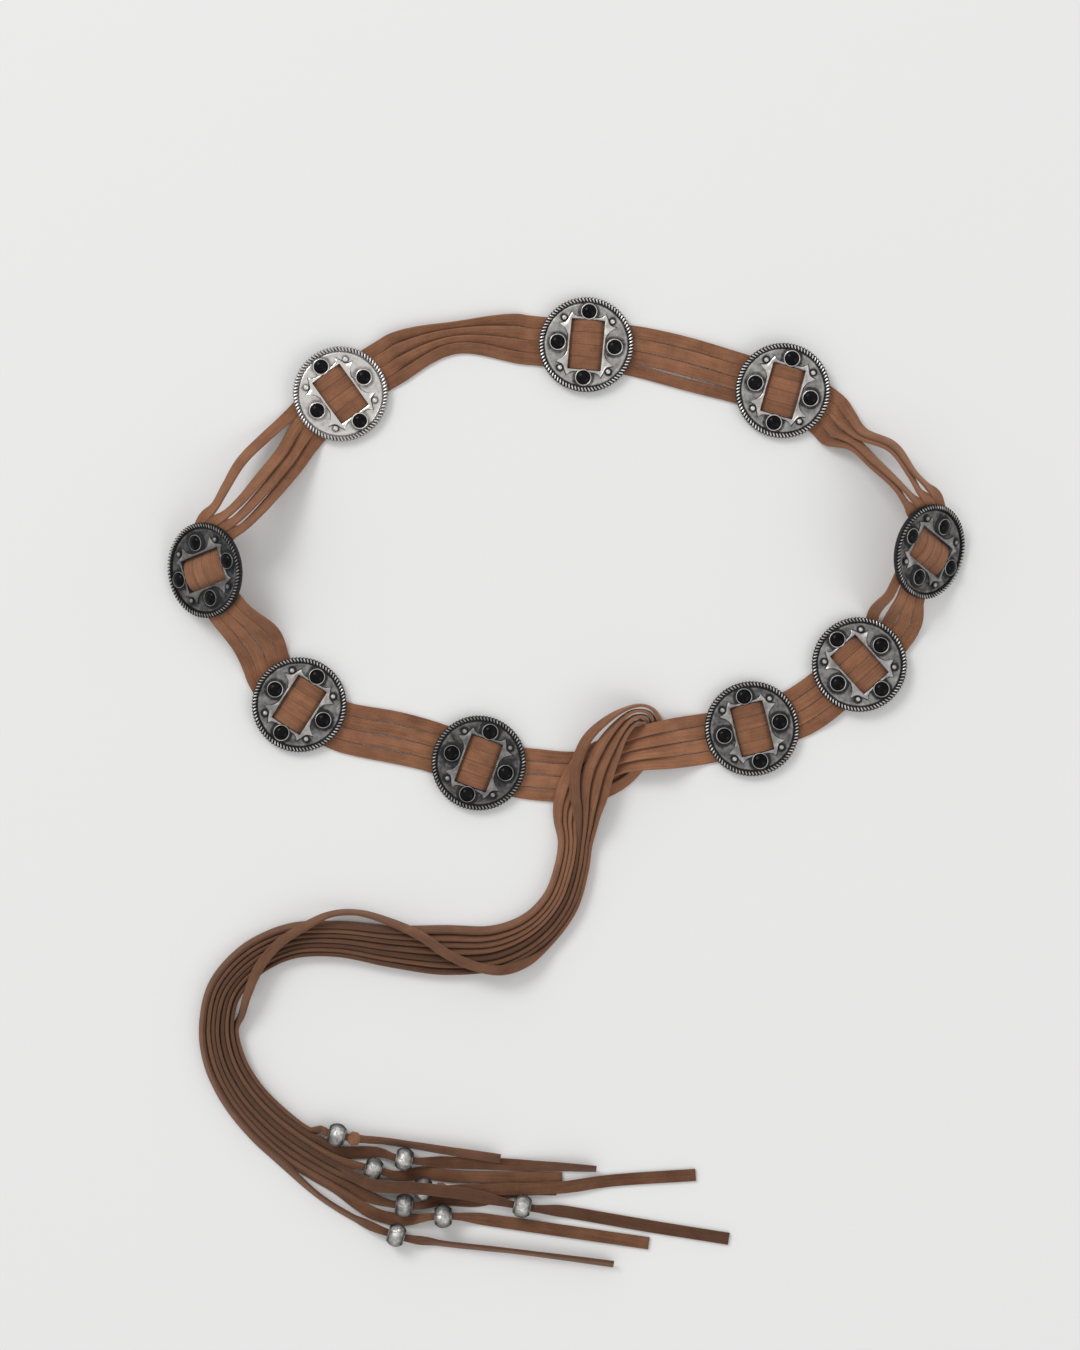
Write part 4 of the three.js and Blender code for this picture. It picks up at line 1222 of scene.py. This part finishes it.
# %% Bar under the window
BAR = {"size": (3.2, 22.4, 1.2), "bevel": 0.35}
with edited(casting) as bm:
    bar = bmesh.ops.create_cube(bm, size=1.0)["verts"]
    bmesh.ops.scale(bm, vec=Vector(BAR["size"]) * MM, verts=bar)
    bmesh.ops.translate(bm, vec=(0, 0, BAR["size"][2] / 2 * MM), verts=bar)
    edges = [e for e in bm.edges if e.verts[0] in bar and e.verts[1] in bar]
    bmesh.ops.bevel(bm, geom=edges, offset=BAR["bevel"] * MM, segments=2, affect="EDGES")
print("casting faces with its bar:", len(casting.polygons))


# %% Four stones
def stone_tree():
    tree, inp, out = geo_tree("four_stones", {
        "Along": SPOTS[0] * MM, "Across": SPOTS[1] * MM, "Stone": "Material"})
    give(tree, out, at_four(tree, inp["Geometry"], inp["Along"], inp["Across"]), inp["Stone"])
    return tree


stones = grown(stone_mesh, stone_tree(), {"Stone": black_stone})
print("stone faces a concho:", len(stones.polygons))

# %% Place the conchos
# Each concho's tarnish. Concho 4's value lies below zero and paints it brighter: a painted reflection of the light.
TARNISH_AND_REFLECTION = [0.56, 0.32, 0.62, -0.75, 0.0, 0.08, 0.5, 0.27, 0.38]


def placed(mesh, matrix):
    copy = mesh.copy()
    move = Matrix.Translation(Vector(SHIFT * MM)) @ Matrix.Translation(matrix.to_translation() * MM)
    copy.transform(move @ matrix.to_3x3().to_4x4())
    return copy


def store_tarnish_and_painted_light(mesh, values):
    mesh.attributes.new("tarnish_and_painted_light", "FLOAT", "POINT").data.foreach_set("value", values)


for i, (matrix, tarnish_and_painted_light) in enumerate(zip(MATRICES, TARNISH_AND_REFLECTION), 1):
    plate = placed(casting, matrix)
    store_tarnish_and_painted_light(plate, [tarnish_and_painted_light] * len(plate.vertices))
    show(plate, f"concho_{i}_casting", "aged_silver", [f"concho_{i}"])
    show(placed(stones, matrix), f"concho_{i}_stones", "black_stone", [f"stone_{i}_{k}" for k in "abcd"])
print("conchos:", len(MATRICES))

# %% [markdown]
# ## Beads
# Each tail carries a silver barrel bead with a rolled lip at both ends. The lace is squeezed through its
# hole.

# %% Beads
# Half of a barrel, from its hole's edge to its middle
HALF_BARREL = [(2.3, 3.2, 1.0), (2.6, 3.75, 0.5), (3.1, 3.8, 0.1), (3.6, 3.55, 0.1), (3.75, 3.2, 0.7),
               (4.3, 2.6, 0.25), (4.9, 1.5, 0.1), (5.1, 0, 0.0)]
BEAD_TARNISH_AND_SHADE = {"top": 0.16, "more": 0.95, "power": 1.2}
barrel = ring_mesh("barrel", circle_angles(48), [(r, -z, e) for r, z, e in HALF_BARREL] + HALF_BARREL[-2::-1])
bead_pieces = []
for order, bead in enumerate(BEADS):
    middle, way = bead_of(order)
    turn = Vector((0, 0, 1)).rotation_difference(Vector(way)).to_matrix().to_4x4()
    mesh = barrel.copy()
    mesh.transform(Matrix.Translation(Vector((middle + SHIFT) * MM)) @ turn)
    mesh.materials.append(bead_silver)
    # Each bead is painted darker where its surface turns away from straight up: painted shade on its sides and
    # underside, over an even light tarnish on top.
    underside_shade = [1 - max(vert.normal.z, 0.0) for vert in mesh.vertices]
    store_tarnish_and_painted_light(mesh, [BEAD_TARNISH_AND_SHADE["top"] + BEAD_TARNISH_AND_SHADE["more"] * b ** BEAD_TARNISH_AND_SHADE["power"] for b in underside_shade])
    bead_pieces.append(show(mesh, f"bead_{bead}_barrel", "bead_silver", [f"bead_{bead}"]))
print("beads:", len(bead_pieces))

# %% [markdown]
# ## Declaring the cords
# A cord's facts are its real length, its width, where it leaves the belt and the pieces on it. The far end
# is a plain cut.

# %% Cords
for (piece, length, path), bead_piece in zip(tails, bead_pieces):
    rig.cord(piece, exit=path[0], length=round(length, 4), diameter=SHOWN_WIDTH * MM, far_end="bare",
            stiffness="limp", lay="loose", path=path, with_pieces=[bead_piece])
print("cords:", len(tails))

# %% [markdown]
# ## Floor and light
# A plain pale floor and two large soft lights. The stronger one, from the upper left, gives the castings a
# direction.

# %% Floor
FLOOR_HALF = 3.0
FLOOR_DROP = 0.0002
floor_mesh = bpy.data.meshes.new("floor")
corners = [(x * FLOOR_HALF, y * FLOOR_HALF, 0) for x, y in ((-1, -1), (1, -1), (1, 1), (-1, 1))]
floor_mesh.from_pydata(corners, [], [(0, 1, 2, 3)])
pale, tree, shader = new_material("pale_floor")
fill(tree, shader, {"Base Color": (0.765, 0.765, 0.762, 1), "Roughness": 0.9})
floor_mesh.materials.append(pale)
floor = linked("floor", floor_mesh)
floor.location.z = -FLOOR_DROP
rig.stage(floor)


# %% Lights
def area_light(name, place, size, power):
    """A square soft light that looks at the middle of the belt."""
    data = bpy.data.lights.new(name, "AREA")
    data.size = size
    data.energy = power
    light = linked(name, data)
    light.location = place
    light.rotation_euler = Vector(place).to_track_quat("Z", "Y").to_euler()


area_light("key", (-2.2, 2.6, 3.4), 1.8, 86)
area_light("fill", (3.2, -2.0, 3.2), 2.8, 40)
world = bpy.data.worlds.new("studio")
world.use_nodes = True
sky = world.node_tree.nodes["Background"].inputs
fill(world.node_tree, sky, {"Color": (1.0, 1.0, 1.0, 1), "Strength": 0.7})
bpy.context.scene.world = world
bpy.context.scene.view_settings.view_transform = "Standard"
print("lights:", len(bpy.data.lights))

# %% [markdown]
# ## Size and finish
# The last step writes the shown belt's box and the model's box to extents.json.

# %% Size and finish
shown_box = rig.bounds()
sizes = {"cad": [[float(v) for v in corner] for corner in cad_box],
         "visual": [[float(v) for v in corner] for corner in shown_box]}
with open("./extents.json", "w") as handle:
    json.dump(sizes, handle)
print("shown box, mm:", [round(v / MM, 1) for corner in shown_box for v in corner])
